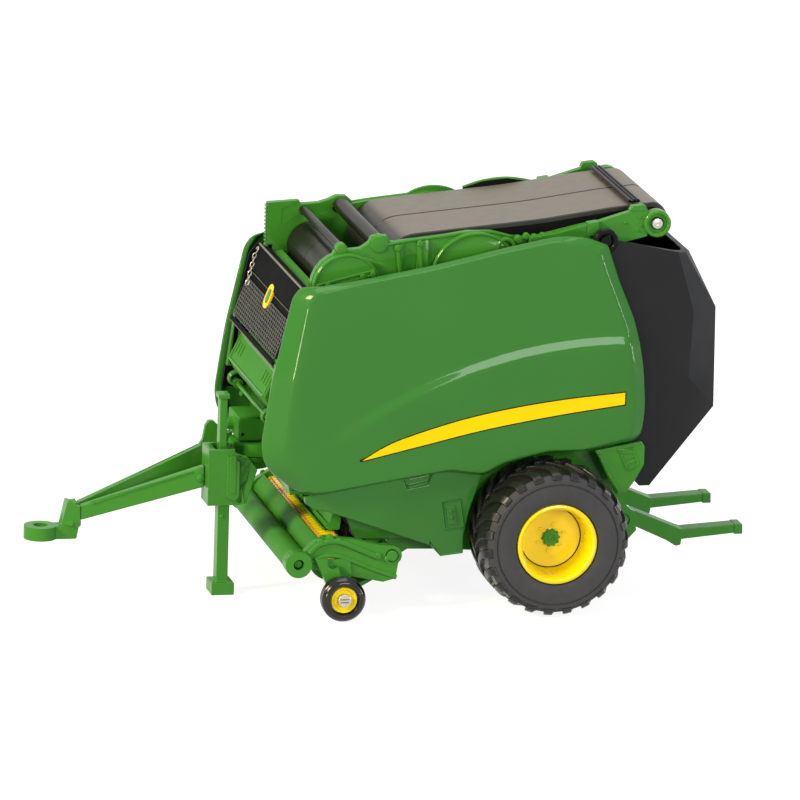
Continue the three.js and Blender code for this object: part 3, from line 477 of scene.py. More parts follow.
def make_front():
    beam_low, beam_high = extent("front_crossbeam")
    beam = Shape().block((beam_low.x, -8, beam_low.z), (beam_high.x, 8, beam_high.z))
    beam.block((beam_high.x - 2.4, beam_low.y, beam_low.z), beam_high)
    remake("front_crossbeam", beam, GREEN, bevel=0.35, rounds=3)
    dressed("gearbox", FLAT_GREEN, 0.5, 3)
    dressed("front_panel", GREEN, 0.25)
    dressed("net_box", FLAT_GREEN, 0.45, 3)
    low, high = extent("net_box")
    half = high.y
    foot = Vector((low.x, 0, low.z + 2.8))
    head = Vector((low.x + 3, 0, high.z))
    normal = Vector((foot.z - head.z, 0, head.x - foot.x)).normalized()

    def on_face(share, across, out=0.0):
        """A point over the net box's sloped face, share of the way up it."""
        point = foot.lerp(head, share) + normal * out
        return point.x, across, point.z

    vents = Shape()
    for side in (-1, 1):
        for i in range(3):
            y = side * (half - 3.2 - 2.4 * i)
            vents.tube([on_face(0.34, y, 0.04), on_face(0.74, y, 0.04)], 0.3)
        edge = side * (half - 1)
        vents.tube([on_face(0.02, edge), on_face(0.98, edge)], 0.34)
    for share in (0.02, 0.96):
        vents.tube([on_face(share, 1 - half), on_face(share, half - 1)], 0.34)
    make("net_box_vents", vents, GREEN)

    hooks = Shape()
    hook = through([(2.2, -0.2), (0.4, -1.2), (0.2, -2.8), (1.8, -3.6), (3.4, -4.6), (3, -6.4)])
    for side in (-1, 1):
        for inward in (0.5, 1.7):
            hooks.ridge(about(low, hook), side * (half - inward), 0.42)
        hooks.disc((low.x + 2, side * (half - 2.6), low.z - 3.2), side, 1.2, 2.2)
    hooks.tube([(low.x + 2, y, low.z - 3.2) for y in (1 - half, half - 1)], 0.55, 12)
    make("net_box_hinges", hooks, GREEN)

    bowl = Shape().turn((beam_low.x + 2.7, -3.4, beam_low.z + 5.6), (0, 0, -1), [
        (0, 0), (6.2, 0), (6.5, 1.6), (6.4, 3), (6, 3.1), (6, 3.4), (6.1, 3.5), (5.8, 4.5),
        (5.4, 4.6), (5.4, 4.9), (5.4, 5), (4.6, 6), (3.2, 6.8), (1.4, 7.2), (0, 7.2)])
    make("drive_bowl", bowl, FLAT_GREEN)
    plug_place = (extent("gearbox")[1].x - 7, -5.6, beam_low.z + 7.4)
    make("gearbox_plug", Shape().disc(plug_place, -1, 0.7, 0.9, 0.3, 16), GREEN)

    edge = extent("front_grille")[1].y
    post = outline([(-67.3, 47.6), (-65.6, 60.6), (-63.6, 60.4), (-65, 47.6)])
    strip = outline([(-68, 42), (-66, 56.5), (-62, 75), (-60, 77.6), (-55, 78), (-58.5, 60),
                     (-62, 42)])
    # The black strips inside each panel's front edge are painted shade: a dark sheet where the gap
    # between panel and wall lies in shadow.
    legs, shade_liners = Shape(), Shape()
    for side in (-1, 1):
        legs.plate(post, side * (edge - 1.8), side * (edge + 0.15))
        shade_liners.plate(strip, side * (edge + 0.3), side * (edge + 1.5))
    make("grille_legs", legs, GREEN, bevel=0.2)
    make("panel_shade_liners", shade_liners, BLACK, bevel=0.15)


def make_grille():
    dressed("front_grille", GRILLE, 0.2)
    high = extent("front_grille")[1]
    foot = Vector((high.x - 8.3, 0, high.z - 18.8))
    head = Vector((high.x - 1.2, 0, high.z))
    along = (head - foot).normalized()
    normal = Vector((-along.z, 0, along.x))
    length = (head - foot).length
    half = high.y

    def on(y, up, out):
        """A point over the grille, that far up it and that far out of it."""
        point = foot + along * up + normal * out
        return point.x, y, point.z

    mesh_low, mesh_high = 1.9, length * 0.56
    reach = half - 1.4
    count = int(2 * reach / 1.75)
    rows = int((mesh_high - mesh_low) / 0.86)
    columns = [-reach + 2 * reach * k / count for k in range(count + 1)]
    wires = Shape()
    for y in columns:
        wires.tube([on(y, mesh_low, 0.12), on(y, mesh_high, 0.12)], 0.2, 6)
    for i in range(rows + 1):
        up = mesh_low + (mesh_high - mesh_low) * i / rows
        weave = [on(y, up, 0.26 if (k + i) % 2 else 0.02) for k, y in enumerate(columns)]
        wires.tube(weave, 0.12, 6)
    make("grille_mesh", wires, MESH_GREY)

    band = Shape()
    for reach, start, end in ((half - 0.3, length * 0.68, length - 0.5), (half - 0.5, 0.3, 1.3)):
        corners = ((-reach, start), (reach, start), (reach, end), (-reach, end))
        band.skin([[on(y, up, out) for y, up in corners] for out in (-0.1, 0.3)])
    make("grille_band", band, GRILLE, bevel=0.12)
    edges = Shape()
    edges.tube([on(y, length - 0.25, 0.2) for y in (0.4 - half, half - 0.4)], 0.28)
    edges.tube([on(y, length * 0.655, 0.1) for y in (1 - half, half - 1)], 0.08, 6)
    edges.tube([on(y, 0.1, 0.1) for y in (0.6 - half, half - 0.6)], 0.12, 6)
    make("grille_edges", edges, EDGE_GREY)

    def squared(value):
        return math.copysign(abs(value) ** 0.7, value)

    ring = [(2.4 * squared(math.cos(a)), 3 * squared(math.sin(a))) for a in round_angles(40)]
    centre = length * 0.6
    for name, surface, steps in (
            ("blank_badge", DECAL, ((1, -0.1), (1, 0.4), (0.94, 0.5), (0.8, 0.5), (0.72, 0.42))),
            ("blank_badge_field", GREEN, ((0.6, 0.3), (0.6, 0.5), (0.55, 0.52)))):
        rings = [[on(y * scale, centre + up * scale, out) for y, up in ring]
                 for scale, out in steps]
        make(name, Shape().skin(rings), surface)

    chain = Shape()
    for i in range(7):
        up = length * 0.84 - i * 1.05
        y = half - 2 - 0.5 * i
        link = []
        for a in round_angles(14):
            wide, tall = 0.42 * math.cos(a), 0.74 * math.sin(a)
            link.append(on(y + wide, up + tall, 0.75) if i % 2 else on(y, up + tall, 0.75 + wide))
        chain.tube(link, 0.12, 6, loop=True)
    hook = through([(half - 1.2, length - 1.6), (half - 1.9, length - 0.9),
                    (half - 3, length - 1.4), (half - 2.2, length * 0.84 + 0.6)], 5)
    chain.tube([on(y, up, 0.7) for y, up in hook], 0.2)
    make("grille_chain", chain, STEEL)


# --- walls, panels and skirts

DISC_REAR = outline([(-17.7, 79.4)])[0]


def make_walls():
    notch = outline([(19.4, 33), (19.6, 24.6), (22.4, 21.4), (25, 20), (30, 20), (30, 33)])
    front_rim = arc(outline([(-49, 77.5)])[0], 7.9, 180, 0, 32)
    bar = [Vector(p) for p in outline([(-56.4, 77.3), (-42.6, 80.7)])]
    rail = through(outline([(-41.6, 87), (-34.8, 88.2), (-25, 89.3), (-19.7, 90), (-14, 90),
                            (-9, 88.8)]), 4)
    linkage = [(-7.4, 88.1, 1.1), (-5.4, 88.9, 0.8), (-3.4, 88.2, 1.2), (-1.4, 88.8, 0.9),
               (0.8, 88.6, 1.3), (2.6, 89.4, 0.8)]
    for name, side in SIDES:
        corner = Shape().plate(notch, side * (CHAMBER_HALF - 1), side * (WALL_RAISED + 1))
        dressed("side_wall_" + name, GREEN, 0.25, carved=corner)
        fittings = Shape()
        face = side * WALL_RAISED
        fittings.ridge(front_rim, face, 0.38)
        fittings.ridge(arc(DISC_REAR, 10.6, 180, 0, 40), face, 0.42)
        fittings.turn(place(-10.6, face - side * 0.6, 86.7), side,
                      [(1.5, 0), (2.3, 0), (2.3, 0.9), (2.1, 1.1), (1.7, 1.1), (1.5, 0.9)],
                      28, loop=True)
        for lift, radius in ((0, 0.42), (1.1, 0.3)):
            y = face + side * (0.3 + 0.2 * lift)
            fittings.ridge([(x, z + lift) for x, z in bar], y, radius)
        for share in (0.02, 0.2, 0.8, 0.98):
            x, z = bar[0].lerp(bar[1], share)
            fittings.disc((x, face, z + 0.3), side, 0.75, 1.1, 0.2, 16)
        y = side * (WALL_OUTER + 0.8)
        for x, z, top in ((-36, 81, 87.2), (-30.6, 80, 88.2)):
            fittings.ridge(outline([(x, z), (x - 0.8, top)]), y, 0.55)
            fittings.disc(place(x - 0.8, y, top - 0.4), side, 0.8, 0.8, 0.2, 16)
        fittings.ridge(rail, side * (WALL_OUTER - 0.1), 0.4)
        y = side * (WALL_OUTER - 0.6)
        for x, z, radius in linkage:
            fittings.disc(place(x, y, z), side, radius, 1.5, 0.3, 18)
        links = outline([(x, z) for x, z, radius in linkage])
        fittings.ridge(links, side * (WALL_OUTER + 0.2), 0.5)
        make("wall_fittings_" + name, fittings, GREEN)

    infill = outline([(-58.8, 78), (-58.8, 88.4), (-51.2, 88.9), (-50.6, 88), (-46.4, 88.2),
                      (-44, 88.9), (-42, 89.8), (-39.6, 89.8), (-38, 88.4), (-40, 84), (-46, 80),
                      (-55, 78)])
    plate = Shape().plate(infill, CHAMBER_HALF + 0.1, WALL_OUTER - 0.05)
    lobe = outline([(-52.6, 84.4), (-51.8, 86.2), (-45.6, 86.7), (-43.6, 88), (-42.8, 89.6),
                    (-39.2, 89.7), (-38.4, 88.2), (-35.6, 87.8), (-40, 84), (-48, 82)])
    plate.plate(lobe, -CHAMBER_HALF - 0.1, -WALL_OUTER + 0.05)
    make("wall_infill", plate, GREEN, bevel=0.25)

    teeth = Shape()
    front, foot, top = AXLE.x - 58.8, 74.6, 88
    count = 14
    for i in range(count):
        z = foot + (top - foot) * (i + 0.5) / count
        teeth.plate([(front + 0.3, z - 0.42), (front - 0.45, z - 0.16), (front - 0.45, z + 0.16),
                     (front + 0.3, z + 0.42)], CHAMBER_HALF + 0.1, WALL_OUTER - 0.1)
    make("wall_teeth", teeth, GREEN)


# Corners of a side panel, as the outline of its rim and of its outer face.
PANEL_CORNERS = [
    ((-61, 78.7), (-57.8, 78)), ((-46, 80.9), (-46, 80.4)), ((-30.1, 83.8), (-30.1, 83.3)),
    ((-14, 87.4), (-14, 86.9)), ((0.6, 90.3), (0, 89.5)), ((7.4, 89.9), (6, 88.3)),
    ((12.9, 87.9), (10.4, 85.8)), ((15.8, 79.5), (13.2, 79)), ((20.4, 68.8), (17.4, 68.4)),
    ((22.6, 58), (19.4, 57.6)), ((23.5, 47.9), (20.2, 47.9)), ((22.6, 40.3), (19.8, 41.6)),
    ((8.1, 37.8), (8.1, 38.7)), ((-0.6, 37.8), (-0.6, 38.7)), ((-10.4, 35.4), (-10.8, 36.4)),
    ((-15.6, 32.4), (-16.2, 33.6)), ((-24, 33.9), (-24.2, 34.8)), ((-40, 31.4), (-40, 32.3)),
    ((-54.8, 28.8), (-54.2, 29.9)), ((-59.8, 28.4), (-58, 29.8)), ((-68.4, 35.5), (-62.6, 36.4)),
    ((-69.4, 40.5), (-64, 41)), ((-67.1, 56.5), (-62.5, 56.5)), ((-62.8, 76.2), (-59.4, 75.4)),
]
# From a panel's rim to its face: how far in (0 to 1), how far out (0 to 1), corner radius.
PANEL_EDGE = [
    (0.5, 0.4, 2), (0.3, 0, 3), (0.06, 0, 3), (0, 0.04, 3), (-0.01, 0.12, 3), (0.01, 0.2, 3),
    (0.06, 0.27, 3), (0.2, 0.4, 2.6), (0.5, 0.65, 2), (0.8, 0.885, 1.4), (0.9, 0.95, 1.3),
    (1.02, 0.985, 1.2), (1.2, 1, 1.2),
]


def ridge_height(x):
    """Height of the soft crease along a side panel, x from the axle."""
    share = min(1, (x + 37.5) / 52.9)
    return 51.6 + 13.5 * (1 - (1 - share) ** 2.05)


def panel_swell(x, z):
    """How far the outside of a side panel stands out from its plane, x from the axle."""
    above = z - ridge_height(x)
    fade = smoothstep(-57, -36, x)
    crown = 0.75 - 0.8 * ((x + 22) / 46) ** 2 - 0.35 * ((z - 56) / 30) ** 2
    shoulder = 0.72 * (1 - smoothstep(-1.5, 1.7, above)) * (1 - 0.8 * smoothstep(1, 17, -above))
    return crown + fade * (shoulder - 0.3)


def panel_point(x, z, side, out=0.0):
    """A point on the outside of a side panel, x in the frame."""
    return x, side * (PANEL_HALF + panel_swell(x - AXLE.x, z) + out), z


def make_panels():
    rims, faces = ([Vector(p) for p in outline(line)] for line in zip(*PANEL_CORNERS))
    count = len(rims)
    spans = [max(1, round((rims[(i + 1) % count] - rims[i]).length / 1.1)) for i in range(count)]
    front = AXLE.x - 59
    tip = max(range(count), key=lambda i: rims[i].x + rims[i].y)
    centre = Vector((AXLE.x - 20, 57))
    for name, side in SIDES:
        rings = []
        for share, out, radius in PANEL_EDGE:
            line = [rim.lerp(face, share) for rim, face in zip(rims, faces)]
            radii = [0.8 if i == tip else radius for i in range(count)]
            ring = []
            for x, z in rounded(line, radii, 4, spans):
                depth = 2.4 + 2.2 * (1 - smoothstep(front - 2, front + 3, x))
                ring.append(panel_point(x, z, side, -depth * (1 - out)))
            rings.append(ring)
        start = [Vector((x, z)) for x, y, z in rings[-1]]
        for scale in (1 - 0.025 * (i + 1) for i in range(40)):
            ring = [centre + (point - centre) * scale for point in start]
            rings.append([panel_point(x, z, side) for x, z in ring])
        remake("side_panel_" + name, Shape().skin(rings), PANEL_GREEN, smooth=50)


def make_stripes():
    top = through([(-45.9, 37.4), (-40.6, 40.6), (-35.1, 42.9), (-22.8, 46.6), (-10.5, 49.2),
                   (3, 51.1), (17.8, 52.4)])
    foot = through([(-45.9, 37.4), (-37.4, 39.4), (-28.9, 41.4), (-19.6, 43.6), (-10.5, 45.4),
                    (3, 47.6), (17.8, 49.5)])

    def sheet(side, margin, out):
        rings = []
        for i, (high, low) in enumerate(zip(top, foot)):
            push = margin * {0: -2, len(top) - 1: 1}.get(i, 0)
            high, low = high + Vector((push, margin)), low + Vector((push, -margin))
            row = [high.lerp(low, k / 4) for k in range(5)]
            outer = [panel_point(x + AXLE.x, z, side, out) for x, z in row]
            inner = [panel_point(x + AXLE.x, z, side, -0.15) for x, z in reversed(row)]
            rings.append(outer + inner)
        return Shape().skin(rings)

    for name, side in SIDES:
        make("stripe_" + name, sheet(side, 0, 0.07), DECAL)
        make("stripe_outline_" + name, sheet(side, 0.26, 0.045), BLACK)


def make_skirts():
    mouth = outline([(-37, 35), (-26.4, 36), (-28.6, 30), (-34, 29)])
    bottom = outline([(-36.2, 35), (-27, 36), (-28.9, 31), (-33.8, 30)])
    nose = outline([(-52.5, 30.1), (-56, 29.4), (-58.8, 27.9), (-58.6, 26.4), (-56.6, 24.9),
                    (-53.2, 24.3), (-27.9, 15.4), (-27.9, 18)])
    web = outline([(-48.2, 30.6), (-25, 33.6), (-22.6, 20), (-27, 16.4), (-45.2, 16.6),
                   (-46.2, 18.4), (-48.2, 23)])
    braces = [[(-38.6, 20.6), (-34.6, 27)], [(-31.6, 19.4), (-31, 26)], [(-26.4, 19), (-30, 21)]]
    plate = outline([(-25.4, 26), (-21, 26.6), (-20, 20), (-24.6, 19.4)])
    inner = [Vector(p) for p in outline([(-24.4, 25), (-22.4, 25.2), (-21.6, 20.8), (-23.8, 20.4)])]
    grip = outline([(-33.4, 31.4), (-28.9, 32.4)])
    lip = outline([(-19.9, 13.5), (-25.3, 12.9), (-27.8, 15.6)])
    border = [Vector(p) for p in outline([(17.2, 38), (20.6, 38.4), (22, 34.4), (19.4, 33)])]
    for name, side in SIDES:
        face = side * SKIRT_HALF
        recess = Shape().skin([[(x, face + side * out, z) for x, z in line]
                               for line, out in ((mouth, 0.5), (bottom, -1))])
        dressed("lower_skirt_" + name, PANEL_GREEN, 0.3, 3, carved=recess)
        shape = Shape().plate(nose, face - side * 1.6, face - side * 0.02)
        make("skirt_nose_" + name, shape, PANEL_GREEN, bevel=0.3, rounds=3)
        ribs = Shape().plate(web, side * 24.6, side * 25.6)
        for brace in braces:
            ribs.ridge(outline(brace), side * 26, 0.6)
        make("skirt_web_" + name, ribs, GREEN, bevel=0.1)

        latch = Shape().ridge(plate, face + side * 0.05, 0.3, loop=True)
        latch.plate(inner, face - side * 0.3, face + side * 0.35)
        for share in (0.25, 0.6):
            x, z = inner[0].lerp(inner[3], share)
            latch.disc((x + 1, face + side * 0.3, z), side, 0.5, 0.5, 0.15, 16)
        for lift in (0, 0.9, 1.8):
            latch.ridge([(x, z + lift) for x, z in grip], face - side * 0.95, 0.2, 6)
        latch.ridge(lip, face - side * 0.15, 0.24)
        make("skirt_latch_" + name, latch, PANEL_GREEN, bevel=0.08)

        dressed("rear_skirt_" + name, GREEN, 0.25)
        out = side * -extent("rear_skirt_left")[0].y
        ribs = Shape().ridge(border, out, 0.3, loop=True)
        for share in (0.25, 0.5, 0.75):
            ends = [border[0].lerp(border[3], share), border[1].lerp(border[2], share)]
            ribs.ridge(ends, out, 0.24)
        ribs.ridge(outline([(12.4, 37), (14.8, 32.4), (17.6, 27.6)]), out, 0.36)
        make("rear_skirt_ribs_" + name, ribs, GREEN)
    dressed("chamber_floor", GREEN, 0.2)
    half = CHAMBER_HALF - 0.3
    throat = outline([(-44.4, 27.6), (-43.8, 27.6), (-41.4, 13), (-42.2, 12.9)])
    make("feed_throat", Shape().plate(throat, -half, half), BLACK, bevel=0.1)
    shield = outline([(-62.2, 34), (-61.4, 34), (-59.8, 27.4), (-44.2, 28), (-44.2, 27.2),
                      (-60.4, 26.4)])
    make("front_shield", Shape().plate(shield, -half, half), GREEN, bevel=0.1)


# --- rollers, belts and arms

def grooved(half, radius):
    """A roller's profile, with a groove round its middle."""
    return both_ends([(0, half), (radius - 0.4, half), (radius, half - 0.4), (radius, 0.12),
                      (radius - 0.3, 0.06)])


def make_rollers():
    half = CHAMBER_HALF - 0.5
    drum = middle("belt_drum")
    shape = Shape().turn(drum, 1, grooved(half, half_size("belt_drum").x), 64)
    stub = WALL_OUTER - 0.4
    shape.turn(drum, 1, both_ends([(0, stub), (1.2, stub)]), 24)
    remake("belt_drum", shape, ROLLER)

    reach = CHAMBER_HALF + 1
    for node, waist, collar in (("thin_roller", 0, 0.35), ("guide_roller", 0.8, 0.3)):
        centre = middle(node)
        radius = half_size(node).x
        stub = radius - waist
        profile = both_ends([(0, reach), (stub, reach), (stub, half), (radius - 0.2, half),
                             (radius, half - 0.2)])
        remake(node, Shape().turn(centre, 1, profile, 40), ROLLER)
        ends = Shape()
        for side in (-1, 1):
            end = (centre.x, side * CHAMBER_HALF, centre.z)
            ends.disc(end, side, radius + collar, WALL + 0.3, 0.3)
        make(node + "_collars", ends, GREEN)

    rear = middle("rear_roller")
    size = half_size("rear_roller")
    remake("rear_roller", Shape().turn(rear, 1, grooved(size.y, size.x)), BELT_EDGE)
    size = half_size("rear_roller_pin")
    profile = both_ends([(0, size.y), (0.5, size.y + 0.15), (size.x - 0.25, size.y),
                         (size.x, size.y - 0.3)])
    remake("rear_roller_pin", Shape().turn(rear, 1, profile, 10), STEEL, smooth=20)


def make_belts():
    high = extent("belts")[1]
    edge = high.y
    roller = middle("rear_roller")
    lead = rounded([(-39.6, 81.9), (-38.6, 84.6), (-34.8, 88.6), (-32, 89.3), (-1.3, 92.2),
                    (18, 95), (30, 96), (30, 60), (-39.6, 60)], 3, 8)
    top = [p for p in outline(lead[:6 * 9]) if p[0] < roller.x - 3.6]
    around = arc((roller.x, roller.z), high.x - roller.x, 88, -55, 24)
    outer = [Vector(p) for p in [*top, *around]]

    def inwards(depth):
        moved = []
        for i, point in enumerate(outer):
            step = (outer[min(i + 1, len(outer) - 1)] - outer[max(i - 1, 0)]).normalized()
            moved.append(point + Vector((step.y, -step.x)) * depth)
        return moved

    belts = Shape()
    thick, soft = 1.1, 0.25
    for start, end in ((-edge, -0.26), (0.26, edge)):
        section = [(thick, start), (soft, start), (0, start + soft), (0, end - soft), (soft, end),
                   (thick, end)]
        lines = [[(p.x, y, p.y) for p in inwards(depth)] for depth, y in section]
        belts.skin(list(zip(*lines)))
    remake("belts", belts, BELT, smooth=40)

    core = Shape()
    under = outline([(19, 88.2), (-1, 86.4), (-33, 83.4), (-37.4, 82.2)])
    for start, end in ((0.1 - edge, 1.2 - edge), (edge - 1.2, edge - 0.1), (-0.6, 0.6)):
        core.plate([*inwards(0.8), *under], start, end)
    make("belt_core", core, BELT_EDGE)

    low, high = extent("belt_clamp")
    centre = (low.x + high.x) / 2
    clamp = Shape().block((centre - 1.45, low.y, low.z), (centre + 1.45, high.y, low.z + 0.4))
    for offset in (-1.05, 0.15, 1.05):
        clamp.tube([(centre + offset, y, low.z + 0.45) for y in (low.y, high.y)], 0.3, 10)
    remake("belt_clamp", clamp, BLACK, bevel=0.06)
    cover = outline([(-11, 89.6), (-11, 91.4), (-6, 92.9), (0, 93.5), (6, 92.6), (10, 91.6),
                     (10, 89.6)])
    make("far_belt_cover", Shape().plate(cover, edge + 0.3, edge + 1), BELT_EDGE, bevel=0.15)
    rim = [*arc(DISC_REAR, 12.2, 128, 60, 20), *outline([(-12, 86), (-25, 86)])]
    crest = Shape().plate(rim, WALL_OUTER - 0.8, WALL_OUTER + 0.2)
    crest.ridge(through(cover[1:-1]), edge + 0.9, 0.4)
    make("far_wall_crest", crest, GREEN, bevel=0.15)


def make_arms():
    roller = middle("rear_roller")
    hinge = middle("hinge_pin_left")
    lug = about(hinge, [(-3.8, 0.7), (-1.2, 1.1), (-1.2, 4.2), (-3.8, 3.8)])
    crest = about(roller, [(-6.8, 3.2), (-6.2, 4.3), (-3.4, 4.6), (-2.8, 3.3)])
    for name, side in SIDES:
        dressed("belt_arm_" + name, GREEN, 0.35, 3)
        face = side * ARM_OUTER
        trim = Shape().turn((roller.x, face - side * 0.3, roller.z), side, [
            (2.35, 0), (3.3, 0), (3.3, 0.9), (3.05, 1.2), (2.6, 1.2), (2.35, 1)], 40, loop=True)
        for dx, dz in ((-4.2, 1.5), (-7.8, 0.3), (-4.8, -1.7), (-4, -0.5)):
            rivet = (roller.x + dx, face - side * 0.2, roller.z + dz)
            trim.disc(rivet, side, 0.38, 0.5, 0.2, 12)
        trim.plate(lug, face - side * 1.6, face + side * 1)
        trim.plate(crest, face - side * 1.9, face + side * 0.2)
        make("arm_trim_" + name, trim, GREEN, bevel=0.12)


# --- tailgate and ramp

def make_tailgate():
    dressed("rear_hood", HOOD, 0.8, 4, smooth=40)
    hinge = middle("hinge_pin_left")
    for name, side in SIDES:
        dressed("hinge_pin_" + name, BLACK, 0.2)
        ear = Shape().turn((hinge.x, side * (HOOD_HALF - 0.4), hinge.z), side, [
            (1.6, 0), (3, 0), (3, 0.6), (2.7, 1), (2, 1), (1.6, 0.6)], 40, loop=True)
        make("hood_ear_" + name, ear, BLACK, "tailgate")


def make_ramp():
    dressed("ramp_tube", GREEN, 0.2)
    root = outline([(22.4, 19.5), (25.4, 19.3), (36.4, 14.7), (37.4, 14.4), (36.8, 10.6),
                    (35.6, 10.4), (33, 12), (25, 15.7), (22.4, 16.7)])
    blade = outline([(36.4, 14.4), (50.6, 15.3), (50.6, 13.2), (36.4, 11.9)])
    block = outline([(50, 15.4), (52.1, 15.4), (52.2, 12.9), (50, 12.9)])
    for name, side in SIDES:
        y = middle("ramp_arm_" + name).y
        arm = Shape()
        for line, half in ((root, 2.5), (blade, 2.2), (block, 2.4)):
            arm.plate(line, y - half, y + half)
        remake("ramp_arm_" + name, arm, GREEN, bevel=0.25, rounds=3)


# --- running wheels

def tyre_body(radius, half, bead):
    """Profile of the carcass, from the outer bead round the tread to the inner one."""
    return both_ends([(bead, half - 1), (bead + 0.3, half - 0.45), (bead + 1, half - 0.2),
                      *inset(radius, half, [
                          (5.6, 0), (3.75, 0.1), (3.6, 0.4), (3.4, 0.4), (3.25, 0.1), (2.5, 0.15),
                          (2.3, 0.4), (2.1, 0.45), (1.6, 0.9), (1.3, 1.9), (1.1, 3.6)]),
                      (radius - 0.95, 0)])


def tread_of(origin, radius, half, lugs=23):
    """The tread's band and its two rows of curved lugs."""
    band = both_ends([(1.32, half - 1.5), (1, half - 3.4), (0.85, 0)])
    tread = Shape().turn(origin, 1, [*[(radius - drop, y) for drop, y in band],
                                     *[(radius - drop - 0.8, y) for drop, y in reversed(band)]],
                         96, loop=True)
    # Along a lug: distance from the middle, drop of its top and of its foot, half its width.
    stations = [(0.3, 0, 1.4, 0.7), (1.8, 0, 1.4, 0.85), (3.4, 0, 1.5, 0.95),
                (5.2, 0.05, 1.6, 1.05), (6.9, 0.25, 1.8, 1.15), (8.2, 0.6, 2.2, 1.2),
                (9.1, 1.15, 2.6, 1.25), (9.6, 2, 2.7, 1.25)]
    for row, shift in ((-1, 0), (1, 0.5)):
        for i in range(lugs):
            rings = []
            for across, top, foot, thick in stations:
                lead = 2 * math.pi * (i + shift) / lugs - 0.3 * (1 - (1 - across / half) ** 2)
                inner = across - (0.5 if across > 8 else 0)
                wide, wider = thick * 0.9 / radius, thick * 1.1 / radius
                rings.append([
                    (origin.x + r * math.cos(lead + turn), origin.y + row * y,
                     origin.z + r * math.sin(lead + turn))
                    for turn, r, y in ((-wide, radius - top, across), (wide, radius - top, across),
                                       (wider, radius - foot, inner),
                                       (-wider, radius - foot, inner))])
            tread.skin(rings)
    return tread


def make_wheels():
    size = half_size("tyre_left")
    bead = half_size("rim_left").x + 0.1
    for name, side in SIDES:
        origin = Vector((AXLE.x, middle("tyre_" + name).y, AXLE.z))
        carcass = Shape().turn(origin, side, tyre_body(size.z, size.y, bead), 96, loop=True)
        remake("tyre_" + name, carcass, TYRE, smooth=40)
        tread = tread_of(origin, size.z, size.y)
        make("tread_" + name, tread, TREAD, "wheel_" + name, bevel=0.16, smooth=40)
        make_rim(name, side, origin, size.y)


def make_rim(name, side, origin, half):
    radius = half_size("rim_" + name).x
    barrel = radius - 1.9
    face = half - 7.7
    profile = [
        (2.1, face - 0.1), (3.4, face), (4.6, face - 0.1), (barrel - 1, face - 0.35),
        (barrel - 0.35, face - 0.2), (barrel, face + 0.4), (barrel + 0.1, face + 3.6),
        *inset(radius, half, [(1.55, 2.2), (1.3, 1), (1.05, 0.55), (0.6, 0.3), (0.1, 0.45),
                              (0, 0.9)]),
        (radius, 0.5 - half), (radius - 1.1, 0.4 - half), (radius - 2, 3.2 - half),
        (radius - 2.6, face - 2.6), (4, face - 2), (3.6, 0.6 - half), (1.9, 0.6 - half),
        (1.9, face)]
    shape = Shape().turn(origin, side, profile, 96, loop=True)

    def over_face(x, z, out):
        return origin + Vector((x, side * (face + out), z))

    for angle in (math.radians(60 * i + 20) for i in range(6)):
        bolt = over_face(3.3 * math.cos(angle), 3.3 * math.sin(angle), 0)
        shape.disc(bolt, side, 0.42, 0.4, 0.2, 12)
    remake("rim_" + name, shape, YELLOW, smooth=40)

    seam = Shape().turn(over_face(0, 0, 0.02), side, [
        (barrel - 0.55, -0.35), (barrel - 0.3, -0.3), (barrel - 0.3, -0.1),
        (barrel - 0.55, -0.15)], 96, loop=True)
    make("rim_seam_" + name, seam, BLACK, "wheel_" + name)

    ring = []
    for i, angle in enumerate(round_angles(40)):
        reach = 2.2 if i % 4 in (0, 1) else 1.85
        ring.append((reach * math.cos(angle), reach * math.sin(angle)))
    hub = Shape().skin([[over_face(x * scale, z * scale, out) for x, z in ring]
                        for scale, out in ((1, 0), (1, 0.8), (0.9, 1))])
    hub.disc(over_face(0, 0, 0.9), side, 0.85, 0.35, 0.2, 20)
    hub.disc(over_face(0.3, -0.2, 1.1), side, 0.45, 0.4, 0.2, 16)
    make("fine_hub_" + name, hub, GREEN, "wheel_" + name, ["hub_cap_" + name], bevel=0.08)


def make_axle():
    radius = half_size("axle").z
    reach = 1.4 - middle("tyre_left").y
    shape = Shape().turn((AXLE.x, 0, AXLE.z), 1, both_ends([(0, reach), (radius, reach)]), 32)
    remake("axle", shape, STEEL)


# --- pickup and gauge wheels

